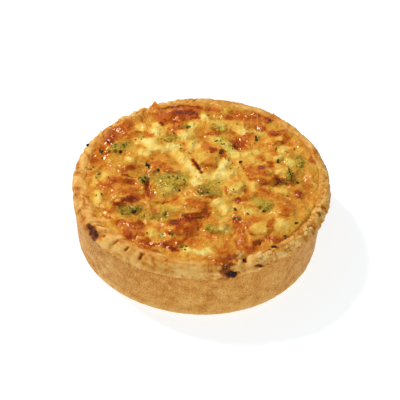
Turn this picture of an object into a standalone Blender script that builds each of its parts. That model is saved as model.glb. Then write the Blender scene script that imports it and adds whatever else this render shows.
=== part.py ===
"""A whole deep quiche of turkey, broccoli and cheese in a round shortcrust case.

The case is turned, then pressed into uneven flutes round its rim. The baked filling is one solid plug
in it. Broccoli florets and turkey chunks sit in pockets of the filling, and small bits of broccoli and
burnt cheese are part of what they lie on.
Metres, +Z up. The origin is under the middle of the rim, on the surface that the quiche stands on.
"""

import functools
import math
import random

import bmesh
import bpy
from mathutils import Vector, noise

MM = 0.001
OBJECT_NAME = "turkey_quiche"

# The case
RIM_RADIUS = 60.0 * MM
RIM_HEIGHT = 34.5 * MM
RIM_INNER_RADIUS = 52.2 * MM
RIM_ROLL_HEIGHT = 3.9 * MM  # from the widest line of the rim up to its crown
RIM_ROLL_ENDS = (126.0, -42.0)  # degrees round the roll, from the filling's side to under the lip
WALL_RADIUS = 58.0 * MM  # down to the middle of the wall, which then draws in to its foot
WALL_FOOT_RADIUS = 57.3 * MM
FOOT_ROUNDING = 2.4 * MM
FLOOR_THICKNESS = 5.0 * MM
INNER_FLOOR_RADIUS = 51.0 * MM
LEAN = -1.5 * MM  # the wall and the foot sit this far along X from the rim
LEAN_HEIGHTS = (26.0 * MM, 32.0 * MM)

# The pressed flutes and the unevenness of hand-filled dough
FLUTES = 72
STEPS_PER_FLUTE = 2  # one step in the notch and one on the ridge beside it
FLUTE_DEPTH = (0.5 * MM, 1.0 * MM)
DEEP_FLUTES_AT = 146.0  # degrees; the flutes fade to a third of their depth on the far side
FLUTE_WANDER = 0.9  # degrees
OUT_OF_ROUND = -0.4 * MM  # a three-cornered swelling
OUT_OF_ROUND_TURN = 14.0  # degrees
RIM_WAVE = 0.5 * MM
CRACKS = (
    # turn in degrees, distance from the middle, width, depth
    (-142.1, 60.5 * MM, 3.4 * MM, 1.6 * MM),
    (-136.2, 60.1 * MM, 1.8 * MM, 1.2 * MM),
    (-130.3, 59.7 * MM, 1.8 * MM, 1.3 * MM),
    (-123.4, 60.3 * MM, 1.8 * MM, 1.3 * MM),
    (-116.6, 60.3 * MM, 1.8 * MM, 1.5 * MM),
    (-76.5, 60.5 * MM, 3.6 * MM, 2.4 * MM),
    (-69.7, 56.7 * MM, 2.6 * MM, 2.0 * MM),
    (-64.7, 60.5 * MM, 3.0 * MM, 1.8 * MM),
)

# The filling
GAP = 0.3 * MM  # between pieces that touch
FILLING_CELLS = 34
FILLING_EDGE_HEIGHT = 33.7 * MM
FILLING_DOME = 0.6 * MM
FILLING_EDGE_ROUNDING = 3.0 * MM
CURD_RELIEF = 0.8 * MM
CURD_SIZE = 6.5 * MM
SWELLS = (
    # x, y, radius, rise: blisters of cheese where the rise is positive, hollows where it is negative
    (-37.2, 6.1, 6.0, 1.4),
    (-38.2, -16.4, 7.0, 1.9),
    (-42.2, -31.4, 6.0, 1.6),
    (-30.2, -40.9, 7.0, 2.2),
    (-17.2, -44.9, 6.0, 1.3),
    (4.8, -47.4, 6.0, 1.2),
    (36.8, -32.4, 7.0, 1.5),
    (43.8, -13.4, 6.0, 1.0),
    (19.8, 33.6, 7.0, 1.4),
    (34.8, 28.6, 7.0, 1.9),
    (26.8, 42.6, 6.0, 1.2),
    (-14.2, 40.1, 8.0, 1.8),
    (-2.2, 39.6, 5.0, 1.3),
    (-39.2, 28.6, 7.0, 1.6),
    (-25.2, 31.6, 5.0, 1.4),
    (-26.2, 18.6, 8.0, 1.8),
    (-34.2, 9.6, 4.0, 1.2),
    (-8.2, 25.6, 6.0, 1.4),
    (21.8, 12.6, 5.0, 1.2),
    (36.8, 17.6, 5.0, 1.3),
    (-20.2, 6.6, 6.0, 1.2),
    (17.8, -16.4, 5.0, 1.2),
    (-25.7, -10.4, 4.0, -2.2),
    (-24.2, -29.4, 7.0, -2.0),
    (16.8, 23.6, 6.0, -1.6),
    (-4.7, 6.6, 4.0, -2.0),
    (7.8, -21.4, 5.0, -1.6),
    (0.8, -28.9, 5.0, -2.0),
    (35.8, -4.4, 4.0, -1.6),
    (-10.2, 12.6, 5.0, -1.2),
    (16.3, -36.4, 5.0, -1.9),
)
FLECK_SIZE = (1.7 * MM, 1.1 * MM, 0.8 * MM)
FLECKS = (
    # x, y, size against FLECK_SIZE: bits of broccoli and burnt cheese, on the filling or on the rim
    (-26.5, 6.9, 1.3), (-20.8, 4.6, 1.0), (-48.2, 15.6, 1.4), (-48.2, 19.3, 1.0), (-32.2, 25.1, 0.8),
    (-48.2, 0.1, 0.9), (-46.2, -14.1, 0.8), (-55.0, 3.2, 1.1), (25.5, 30.1, 1.2), (17.6, 12.3, 1.0),
    (34.8, 13.4, 1.1), (34.4, 21.9, 1.0), (44.0, 22.9, 1.0), (1.0, 45.6, 0.9), (31.5, 44.1, 1.0),
    (35.8, 33.6, 0.8), (15.4, -26.4, 1.1), (42.6, -29.4, 1.0), (26.3, -42.9, 1.3), (36.6, -36.4, 1.2),
    (-18.8, -40.4, 1.1), (-7.7, -46.4, 1.0), (-16.6, -25.9, 1.0), (-25.2, -38.4, 0.9), (-14.8, 32.0, 0.8),
    (46.3, -8.2, 0.8), (-56.4, 20.2, 1.4), (32.8, -45.2, 1.5),
)
SHRED_FOOT = (-26.6 * MM, 49.2 * MM, 33.4 * MM)  # a crisped shred baked onto the rim, its tip in the air
SHRED_TIP = (-25.1 * MM, 52.6 * MM, 37.2 * MM)
SHRED_RADIUS = 1.3 * MM

# The toppings: x, y, turn in degrees, then length, width and depth, all but the turn in millimetres
BROCCOLI = (
    (-15.7, -6.4, 20.0, 16.0, 14.0, 11.0),
    (3.8, -11.9, -15.0, 12.5, 9.5, 8.5),
    (-39.7, 16.6, 15.0, 10.5, 9.0, 8.5),
    (-17.2, 24.4, 15.0, 11.0, 6.5, 8.0),
    (45.0, 11.8, 80.0, 12.0, 6.5, 8.0),
    (40.3, 3.2, 95.0, 9.0, 4.6, 7.0),
    (28.8, -18.4, -35.0, 10.0, 8.0, 8.0),
    (5.8, -35.4, -10.0, 9.5, 8.0, 8.0),
    (12.4, 23.2, -42.0, 12.0, 5.4, 7.5),
    (-27.6, -4.0, 100.0, 6.5, 5.0, 7.0),
    (-30.5, -24.4, 60.0, 7.5, 6.0, 7.5),
    (6.6, 34.6, -30.0, 10.5, 7.5, 8.0),
)
BROCCOLI_PROUD = 0.36  # share of a floret's depth that stands above the filling
BUD_RELIEF = 0.34
BUD_SPREAD = 3.4  # more is smaller buds
LOBE_RELIEF = 0.07
TURKEY = (
    (2.4, 13.6, -14.0, 11.5, 17.5, 13.0),
    (26.8, 0.6, 25.0, 14.5, 13.5, 12.0),
    (-5.7, -21.4, -20.0, 13.5, 10.5, 11.0),
    (25.8, -33.4, 10.0, 13.0, 12.0, 11.0),
    (15.3, -7.6, -35.0, 8.5, 7.5, 9.0),
    (38.3, -21.4, 70.0, 11.0, 8.5, 9.0),
    (-8.2, -36.4, 15.0, 14.5, 9.0, 10.0),
    (-39.7, -5.4, -10.0, 12.5, 10.5, 10.0),
)
TURKEY_PROUD = 0.26
TURKEY_SQUARENESS = 3.2  # 2 is an ellipsoid, more is a rounded block
TURKEY_RAGGED = 0.10
TOPPING_UNDERSIDE = -0.45  # where the hidden underside is cut flat, against half its depth
TOPPING_CELLS = (4, 5)  # along each side of the cube that a small or a large topping is rounded from
LARGE_TOPPING = 15.5
POCKET_CORNERS = 20

FINISHES = {
    # base colour, roughness, metallic
    "pastry": ((0.66, 0.37, 0.12), 0.72, 0.0),
    "baked_filling": ((0.76, 0.40, 0.07), 0.42, 0.0),
    "broccoli": ((0.36, 0.32, 0.05), 0.50, 0.0),
    "turkey": ((0.78, 0.42, 0.10), 0.45, 0.0),
}


def smooth(low, high, value):
    """Rises smoothly from 0 at low to 1 at high."""
    share = min(1.0, max(0.0, (value - low) / (high - low)))
    return share * share * (3.0 - 2.0 * share)


def finish(name):
    """The material of that name, made once."""
    material = bpy.data.materials.get(name)
    if material is None:
        colour, roughness, metallic = FINISHES[name]
        material = bpy.data.materials.new(name)
        material.use_nodes = True
        shader = material.node_tree.nodes["Principled BSDF"]
        shader.inputs["Base Color"].default_value = (*colour, 1.0)
        shader.inputs["Roughness"].default_value = roughness
        shader.inputs["Metallic"].default_value = metallic
    return material


def mesh_from(name, built):
    """A mesh from a bmesh, which is freed."""
    mesh = bpy.data.meshes.new(name)
    built.to_mesh(mesh)
    built.free()
    return mesh


def add_object(name, mesh, collection):
    """An object for a mesh, in that collection."""
    made = bpy.data.objects.new(name, mesh)
    collection.objects.link(made)
    return made


def evaluated_mesh(source):
    """The object's mesh with its modifiers applied."""
    bpy.context.view_layer.update()
    graph = bpy.context.evaluated_depsgraph_get()
    return bpy.data.meshes.new_from_object(source.evaluated_get(graph))


def combine(target, tools, operation):
    """Joins or cuts the target with every object of a collection, applies that, and removes those objects."""
    boolean = target.modifiers.new(operation.title(), "BOOLEAN")
    boolean.operation = operation
    boolean.operand_type = "COLLECTION"
    boolean.collection = tools
    boolean.solver = "EXACT"
    mesh = evaluated_mesh(target)
    target.modifiers.clear()
    target.data = mesh
    for tool in list(tools.objects):
        bpy.data.objects.remove(tool)


def rim_arc(steps=6):
    """Points over the rim's roll, from the filling's side to under the lip."""
    middle_radius = (RIM_RADIUS + RIM_INNER_RADIUS) / 2
    half_width = (RIM_RADIUS - RIM_INNER_RADIUS) / 2
    start, end = RIM_ROLL_ENDS
    points = []
    for step in range(steps + 1):
        angle = math.radians(start + (end - start) * step / steps)
        radius = middle_radius + half_width * math.cos(angle)
        height = RIM_HEIGHT - RIM_ROLL_HEIGHT + RIM_ROLL_HEIGHT * math.sin(angle)
        points.append((radius, height))
    return points


def foot_arc(steps=2):
    """Points round the lower corner, from the wall to the flat foot."""
    centre = WALL_FOOT_RADIUS - FOOT_ROUNDING
    turns = [math.pi / 2 * step / steps for step in range(steps + 1)]
    return [(centre + FOOT_ROUNDING * math.cos(a), FOOT_ROUNDING * (1 - math.sin(a))) for a in turns]


def case_profile():
    """The case's section, from the inside floor over the rim and down the wall to the middle of the foot."""
    lip_foot = RIM_HEIGHT - 1.75 * RIM_ROLL_HEIGHT
    inside = [(0.0, FLOOR_THICKNESS), (INNER_FLOOR_RADIUS, FLOOR_THICKNESS)]
    wall = [(WALL_RADIUS, lip_foot), (WALL_RADIUS, 0.42 * RIM_HEIGHT)]
    return inside + rim_arc() + wall + foot_arc() + [(0.0, 0.0)]


def turned(name, profile, steps, collection):
    """The solid that a profile of (radius, height) makes when it is turned about Z."""
    mesh = bpy.data.meshes.new(name)
    edges = [(i, i + 1) for i in range(len(profile) - 1)]
    mesh.from_pydata([(radius, 0.0, height) for radius, height in profile], edges, [])
    made = add_object(name, mesh, collection)
    screw = made.modifiers.new("Turn", "SCREW")
    screw.axis = "Z"
    screw.steps = steps
    screw.render_steps = steps
    screw.use_merge_vertices = True
    screw.merge_threshold = 0.00001
    made.data = evaluated_mesh(made)
    made.modifiers.clear()
    return made


def swelling(angle, radius):
    """How far the case bulges out at a turn round it, fading to nothing at its middle."""
    corners = math.cos(3 * (angle - math.radians(OUT_OF_ROUND_TURN)))
    return OUT_OF_ROUND * corners * smooth(0.0, RIM_RADIUS, radius)


def flute_table():
    """(depth, wander) of each flute round the rim."""
    dice = random.Random(21)
    table = []
    for flute in range(FLUTES):
        away = math.radians(360.0 * flute / FLUTES - DEEP_FLUTES_AT)
        fade = 0.33 + 0.67 * (0.5 + 0.5 * math.cos(away)) ** 2
        wander = math.radians(dice.uniform(-FLUTE_WANDER, FLUTE_WANDER))
        table.append((fade * dice.uniform(*FLUTE_DEPTH), wander))
    return table


def shape_case(case):
    """Presses the flutes, the cracks, the lean and the waves of the rim into the turned case."""
    flutes = flute_table()
    pitch = 2 * math.pi / FLUTES
    for vertex in case.data.vertices:
        x, y, height = vertex.co
        radius = math.hypot(x, y)
        if radius < MM:
            continue
        angle = math.atan2(y, x)
        index = round(angle / pitch) % FLUTES
        depth, wander = flutes[index]
        in_notch = abs(angle / pitch - round(angle / pitch)) < 0.2
        on_outside = smooth(54.0 * MM, 59.0 * MM, radius)
        clear_of_filling = smooth(54.0 * MM, 55.8 * MM, radius)
        on_rim = smooth(RIM_HEIGHT - 2.0 * RIM_ROLL_HEIGHT, RIM_HEIGHT - RIM_ROLL_HEIGHT, height)
        pressed = depth * on_outside * on_rim if in_notch else -0.25 * depth * on_outside * on_rim
        radius += swelling(angle, radius)
        wave = noise.noise(Vector((2.2 * math.cos(angle), 2.2 * math.sin(angle), 4.0)))
        height += RIM_WAVE * wave * on_rim - 0.6 * max(pressed, 0.0)
        radius -= pressed
        angle += wander * on_outside * on_rim
        x, y = radius * math.cos(angle), radius * math.sin(angle)
        for turn, distance, width, sunk in CRACKS:
            turn = math.radians(turn)
            away = math.hypot(x - distance * math.cos(turn), y - distance * math.sin(turn))
            share = math.exp(-((away / width) ** 2)) * on_rim * clear_of_filling
            height -= sunk * share
            x -= 0.35 * sunk * share * math.cos(turn)
            y -= 0.35 * sunk * share * math.sin(turn)
        x += LEAN * (1.0 - smooth(*LEAN_HEIGHTS, height))
        vertex.co = (x, y, height)


def filling_height(x, y):
    """Height of the baked surface over a place, in metres."""
    radius = math.hypot(x, y)
    height = FILLING_EDGE_HEIGHT + FILLING_DOME * (1.0 - (radius / RIM_INNER_RADIUS) ** 2)
    inside = 1.0 - smooth(RIM_INNER_RADIUS - FILLING_EDGE_ROUNDING, RIM_INNER_RADIUS, radius)
    for swell_x, swell_y, spread, rise in SWELLS:
        away = math.hypot(x - swell_x * MM, y - swell_y * MM) / (spread * MM)
        height += rise * MM * math.exp(-1.6 * away**2) * inside
    coarse = noise.noise(Vector((x, y, 0.0)) / CURD_SIZE)
    fine = noise.noise(Vector((x, y, 0.03)) / (0.45 * CURD_SIZE))
    return height + CURD_RELIEF * (coarse + 0.6 * fine) * inside


def disc_place(u, v):
    """Maps a square's place, from -1 to 1 each way, onto a disc of radius 1 with even cells."""
    if u == 0.0 and v == 0.0:
        return 0.0, 0.0
    if abs(u) > abs(v):
        radius, angle = u, math.pi / 4 * v / u
    else:
        radius, angle = v, math.pi / 2 - math.pi / 4 * u / v
    return radius * math.cos(angle), radius * math.sin(angle)


def inner_radius_at(angle, height):
    """How far the filling reaches at a height, a gap inside the case."""
    edge_radius, edge_height = rim_arc()[0]
    share = min(1.0, (height - FLOOR_THICKNESS) / (edge_height - FLOOR_THICKNESS))
    radius = INNER_FLOOR_RADIUS + (edge_radius - INNER_FLOOR_RADIUS) * share
    return radius + swelling(angle, radius)


def make_filling(collection):
    """The baked custard and cheese: a lumpy round sheet, drawn down into a plug that fits the case."""
    mesh = bmesh.new()
    bmesh.ops.create_grid(mesh, x_segments=FILLING_CELLS, y_segments=FILLING_CELLS, size=1.0)
    for vertex in mesh.verts:
        u, v = disc_place(vertex.co.x, vertex.co.y)
        angle = math.atan2(v, u)
        reach = inner_radius_at(angle, RIM_HEIGHT) - GAP
        x, y = u * reach, v * reach
        vertex.co = (x, y, filling_height(x, y))
    edge = [e for e in mesh.edges if e.is_boundary]
    grown = bmesh.ops.extrude_edge_only(mesh, edges=edge)["geom"]
    foot = FLOOR_THICKNESS + GAP
    for vertex in [g for g in grown if isinstance(g, bmesh.types.BMVert)]:
        angle = math.atan2(vertex.co.y, vertex.co.x)
        reach = inner_radius_at(angle, foot) - GAP
        vertex.co = (reach * math.cos(angle) + LEAN, reach * math.sin(angle), foot)
    bmesh.ops.holes_fill(mesh, edges=[e for e in mesh.edges if e.is_boundary], sides=0)
    bmesh.ops.recalc_face_normals(mesh, faces=mesh.faces)
    return add_object("filling", mesh_from("filling", mesh), collection)


def floret_reach(direction, seed):
    """How far a floret reaches in a direction, against an ellipsoid: lobed round its side, knobbly on top."""
    lobes = math.cos((3 + seed % 3) * math.atan2(direction.y, direction.x) + seed) * (1.0 - direction.z**2)
    knobs = noise.noise(direction * BUD_SPREAD + Vector((3.1 * seed, 0.0, 0.0)))
    return 0.97 + LOBE_RELIEF * lobes + BUD_RELIEF * knobs * smooth(-0.1, 0.4, direction.z)


def chunk_reach(direction, seed):
    """How far a torn chunk reaches in a direction, against an ellipsoid: a rounded, ragged block."""
    power = TURKEY_SQUARENESS
    block = sum(abs(c) ** power for c in direction) ** (-1.0 / power)
    torn = noise.noise(Vector((2.1 * direction.x, 2.1 * direction.y, 3.7 * seed)))
    return block * (1.0 + TURKEY_RAGGED * torn)


def topping_mesh(sizes, reach):
    """A rounded piece about its own middle, with a flat hidden underside."""
    half = Vector(sizes) * MM / 2
    mesh = bmesh.new()
    cells = TOPPING_CELLS[max(sizes) > LARGE_TOPPING]
    bmesh.ops.create_cube(mesh, size=2.0)
    bmesh.ops.subdivide_edges(mesh, edges=mesh.edges[:], cuts=cells - 1, use_grid_fill=True)
    for vertex in mesh.verts:
        direction = Vector(math.tan(c * math.pi / 4) for c in vertex.co).normalized()
        vertex.co = reach(direction) * direction * half
    underside = Vector((0.0, 0.0, TOPPING_UNDERSIDE * half.z))
    everything = mesh.verts[:] + mesh.edges[:] + mesh.faces[:]
    bmesh.ops.bisect_plane(mesh, geom=everything, plane_co=underside, plane_no=(0, 0, -1), clear_outer=True)
    bmesh.ops.holes_fill(mesh, edges=[e for e in mesh.edges if e.is_boundary], sides=0)
    bmesh.ops.recalc_face_normals(mesh, faces=mesh.faces)
    return mesh


def pocket_mesh(sizes, reach):
    """The upright cutter round a topping's widest outline, from a gap under it up to the open air."""
    half = Vector(sizes) * MM / 2
    mesh = bmesh.new()
    bmesh.ops.create_cone(mesh, cap_ends=True, segments=POCKET_CORNERS, radius1=1, radius2=1, depth=2)
    for vertex in mesh.verts:
        direction = Vector((vertex.co.x, vertex.co.y, 0.0)).normalized()
        spread = reach(direction)
        x, y = (d * (spread * h + 1.7 * GAP) for d, h in zip(direction.xy, half.xy))
        z = 2.0 * half.z if vertex.co.z > 0 else TOPPING_UNDERSIDE * half.z - GAP
        vertex.co = (x, y, z)
    return mesh


def topping_and_pocket(name, place, reach, proud):
    """A topping sunk in the filling, and the cutter of its pocket."""
    x, y, turn, *sizes = place
    height = filling_height(x * MM, y * MM) + (proud - 0.5) * sizes[2] * MM
    pair = []
    for shape in (topping_mesh, pocket_mesh):
        mesh = mesh_from(name, shape(sizes, reach))
        piece = bpy.data.objects.new(name, mesh)
        piece.location = (x * MM, y * MM, height)
        piece.rotation_euler.z = math.radians(turn)
        pair.append(piece)
    return pair


def add_toppings(collection, cutters):
    """Every floret and chunk, each its own piece."""
    kinds = (
        ("broccoli", BROCCOLI, floret_reach, BROCCOLI_PROUD),
        ("turkey", TURKEY, chunk_reach, TURKEY_PROUD),
    )
    for kind, places, reach, proud in kinds:
        for number, place in enumerate(places, 1):
            own_reach = functools.partial(reach, seed=number)
            made, cutter = topping_and_pocket(f"{kind}_{number}", place, own_reach, proud)
            made.data.materials.append(finish(kind))
            collection.objects.link(made)
            cutters.objects.link(cutter)


def rim_height(x, y):
    """Height of the rim's roll over a place."""
    middle_radius = (RIM_RADIUS + RIM_INNER_RADIUS) / 2
    half_width = (RIM_RADIUS - RIM_INNER_RADIUS) / 2
    away = min(1.0, abs(math.hypot(x, y) - middle_radius) / half_width)
    return RIM_HEIGHT - RIM_ROLL_HEIGHT * (1.0 - math.sqrt(1.0 - away**2))


def add_flecks(on_rim, bits):
    """The small flat-sided bits that lie on the rim, or those on the filling, ready to be joined to it."""
    for number, (x, y, size) in enumerate(FLECKS):
        x, y = x * MM, y * MM
        if (math.hypot(x, y) > RIM_INNER_RADIUS) != on_rim:
            continue
        mesh = bmesh.new()
        bmesh.ops.create_icosphere(mesh, subdivisions=1, radius=1.0)
        for vertex in mesh.verts:
            vertex.co = Vector(c * s * size / 2 for c, s in zip(vertex.co, FLECK_SIZE))
        made = add_object(f"fleck_{number}", mesh_from("fleck", mesh), bits)
        made.location = (x, y, rim_height(x, y) if on_rim else filling_height(x, y))
        made.rotation_euler.z = 2.4 * number


def add_shred(bits):
    """The crisped shred of cheese that leans out over the rim: a cone with its foot in the dough."""
    foot = Vector(SHRED_FOOT)
    tip = Vector(SHRED_TIP)
    length = (tip - foot).length
    mesh = bmesh.new()
    ends = {"radius1": SHRED_RADIUS, "radius2": 0.3 * MM}
    bmesh.ops.create_cone(mesh, cap_ends=True, segments=7, depth=length, **ends)
    made = add_object("shred", mesh_from("shred", mesh), bits)
    made.location = (foot + tip) / 2
    made.rotation_euler = (tip - foot).to_track_quat("Z", "Y").to_euler()


def main():
    for old in list(bpy.data.objects):
        bpy.data.objects.remove(old)
    quiche = bpy.data.collections.new(OBJECT_NAME)
    cutters = bpy.data.collections.new("pockets")
    bits = bpy.data.collections.new("small_bits")
    for collection in (quiche, cutters, bits):
        bpy.context.scene.collection.children.link(collection)

    case = turned("pastry_case", case_profile(), FLUTES * STEPS_PER_FLUTE, quiche)
    case.data.materials.append(finish("pastry"))
    shape_case(case)
    add_flecks(True, bits)
    add_shred(bits)
    combine(case, bits, "UNION")

    filling = make_filling(quiche)
    filling.data.materials.append(finish("baked_filling"))
    add_flecks(False, bits)
    combine(filling, bits, "UNION")
    add_toppings(quiche, cutters)
    combine(filling, cutters, "DIFFERENCE")

    for collection in (cutters, bits):
        bpy.data.collections.remove(collection)
    for piece in quiche.objects:
        piece.data.shade_smooth()
        piece.data.set_sharp_from_angle(angle=math.radians(50))


main()
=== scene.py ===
import math
import random

import bmesh
import bpy
import numpy as np
from mathutils import Matrix, Vector, noise
from mathutils.bvhtree import BVHTree


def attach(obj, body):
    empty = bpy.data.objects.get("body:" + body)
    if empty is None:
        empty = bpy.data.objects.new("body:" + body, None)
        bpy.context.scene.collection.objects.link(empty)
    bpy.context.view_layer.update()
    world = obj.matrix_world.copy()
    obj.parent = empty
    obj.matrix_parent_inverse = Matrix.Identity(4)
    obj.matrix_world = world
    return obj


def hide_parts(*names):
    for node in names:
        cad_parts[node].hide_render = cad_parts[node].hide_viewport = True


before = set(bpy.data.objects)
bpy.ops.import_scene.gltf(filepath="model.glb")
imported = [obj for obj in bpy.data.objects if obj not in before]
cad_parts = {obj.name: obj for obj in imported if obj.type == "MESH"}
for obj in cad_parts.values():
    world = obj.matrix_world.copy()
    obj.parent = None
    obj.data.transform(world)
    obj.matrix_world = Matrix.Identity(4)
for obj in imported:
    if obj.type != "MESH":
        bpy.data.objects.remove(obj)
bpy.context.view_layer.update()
mm = 0.001
above, down = 0.06, Vector((0, 0, -1))  # rays that look straight down start at this height in m

# A point of the top is known by where it shows on a level plane at this height, seen from the camera, in mm.
# A look along the camera's line starts this far above the plane.
topPlane = {"height": 34.0, "slope": 1.077, "shift": (0.2, 1.4), "lookFrom": 30.0}

# Patterns for shapes and looks


def hashed(i, j, k, seed):
    h = (i * 73856093) ^ (j * 19349663) ^ (k * 83492791) ^ (seed * 49979693)
    h = (h & 0xFFFFFFFF).astype(np.uint64)
    h ^= h >> np.uint64(15)
    h = (h * np.uint64(2246822519)) & np.uint64(0xFFFFFFFF)
    h ^= h >> np.uint64(13)
    h = (h * np.uint64(3266489917)) & np.uint64(0xFFFFFFFF)
    h ^= h >> np.uint64(16)
    return h.astype(float) / 4294967295.0


def softNoise(p, size, seed):
    # smooth values from -1 to 1, about one swell for each size
    q = p / size + 0.37 * seed
    base = np.floor(q).astype(np.int64)
    f = q - base
    f = f * f * f * (f * (6 * f - 15) + 10)
    total = 0.0
    for a in (0, 1):
        wa = f[:, 0] if a else 1 - f[:, 0]
        for b in (0, 1):
            wb = f[:, 1] if b else 1 - f[:, 1]
            for c in (0, 1):
                wc = f[:, 2] if c else 1 - f[:, 2]
                total = total + wa * wb * wc * hashed(base[:, 0] + a, base[:, 1] + b, base[:, 2] + c, seed)
    return 2 * total - 1


def layered(p, size, seed, octaves=3):
    total, share, scale = 0.0, 1.0, 0.0
    for octave in range(octaves):
        total = total + share * softNoise(p, size / 2**octave, seed + octave)
        scale += share
        share *= 0.55
    return total / scale


def pebbles(p, size, seed):
    # distance to the nearest of one loose point a cell, in x and y, against the size
    q = p[:, :2] / size
    base = np.floor(q).astype(np.int64)
    nearest = np.full(len(p), 9.0)
    for a in (-1, 0, 1):
        for b in (-1, 0, 1):
            i, j = base[:, 0] + a, base[:, 1] + b
            px = i + 0.1 + 0.8 * hashed(i, j, i * 0, seed)
            py = j + 0.1 + 0.8 * hashed(i, j, i * 0, seed + 7)
            nearest = np.minimum(nearest, np.hypot(px - q[:, 0], py - q[:, 1]))
    return nearest


def sway(place, size, seed):
    # a soft sideways push for each place, from -1 to 1 in x and in y
    return np.stack([softNoise(place, size, seed), softNoise(place, size, seed + 1), 0 * place[:, 0]], 1)


def rise(low, high, value):
    t = np.clip((value - low) / (high - low), 0.0, 1.0)
    return t * t * (3 - 2 * t)


def flat(p):
    # where a point shows on the level plane of the top
    out = np.array(p, float)
    out[:, 0] += topPlane["shift"][0]
    out[:, 1] += topPlane["shift"][1] + (p[:, 2] - topPlane["height"]) * topPlane["slope"]
    out[:, 2] = 0.0
    return out


def nearMark(place, mark, wobble, grow=1.0):
    # the places near a mark, and how far out each lies against the mark's own oval
    x, y, _, length, width, turn = mark
    length, width = length * grow, width * grow
    reach = 0.8 * max(length, width) + 1.0
    near = np.nonzero((np.abs(place[:, 0] - x) < reach) & (np.abs(place[:, 1] - y) < reach))[0]
    c, s = math.cos(math.radians(turn)), math.sin(math.radians(turn))
    dx, dy = place[near, 0] - x, place[near, 1] - y
    away = np.hypot((dx * c + dy * s) / (0.5 * length), (dy * c - dx * s) / (0.5 * width))
    return near, away + wobble[near]


def paint(level, place, marks, wobble, grow=1.0):
    # pulls a level towards each mark's own: x, y, level, length, width, turn
    for mark in sorted(marks, key=lambda m: -m[3] * m[4]):
        near, away = nearMark(place, mark, 0.55 * wobble, grow)
        start, end = (0.1, 1.35) if mark[2] < 0.3 else (0.4, 1.25)  # pale patches have softer edges
        level[near] += (mark[2] - level[near]) * (1 - rise(start, end, away))
    return level


def alongStroke(place, points):
    # distance from each place to a line through the points
    best = np.full(len(place), 1e3)
    for (ax, ay), (bx, by) in zip(points, points[1:]):
        dx, dy = bx - ax, by - ay
        t = np.clip(((place[:, 0] - ax) * dx + (place[:, 1] - ay) * dy) / (dx * dx + dy * dy), 0, 1)
        best = np.minimum(best, np.hypot(place[:, 0] - ax - t * dx, place[:, 1] - ay - t * dy))
    return best


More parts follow.
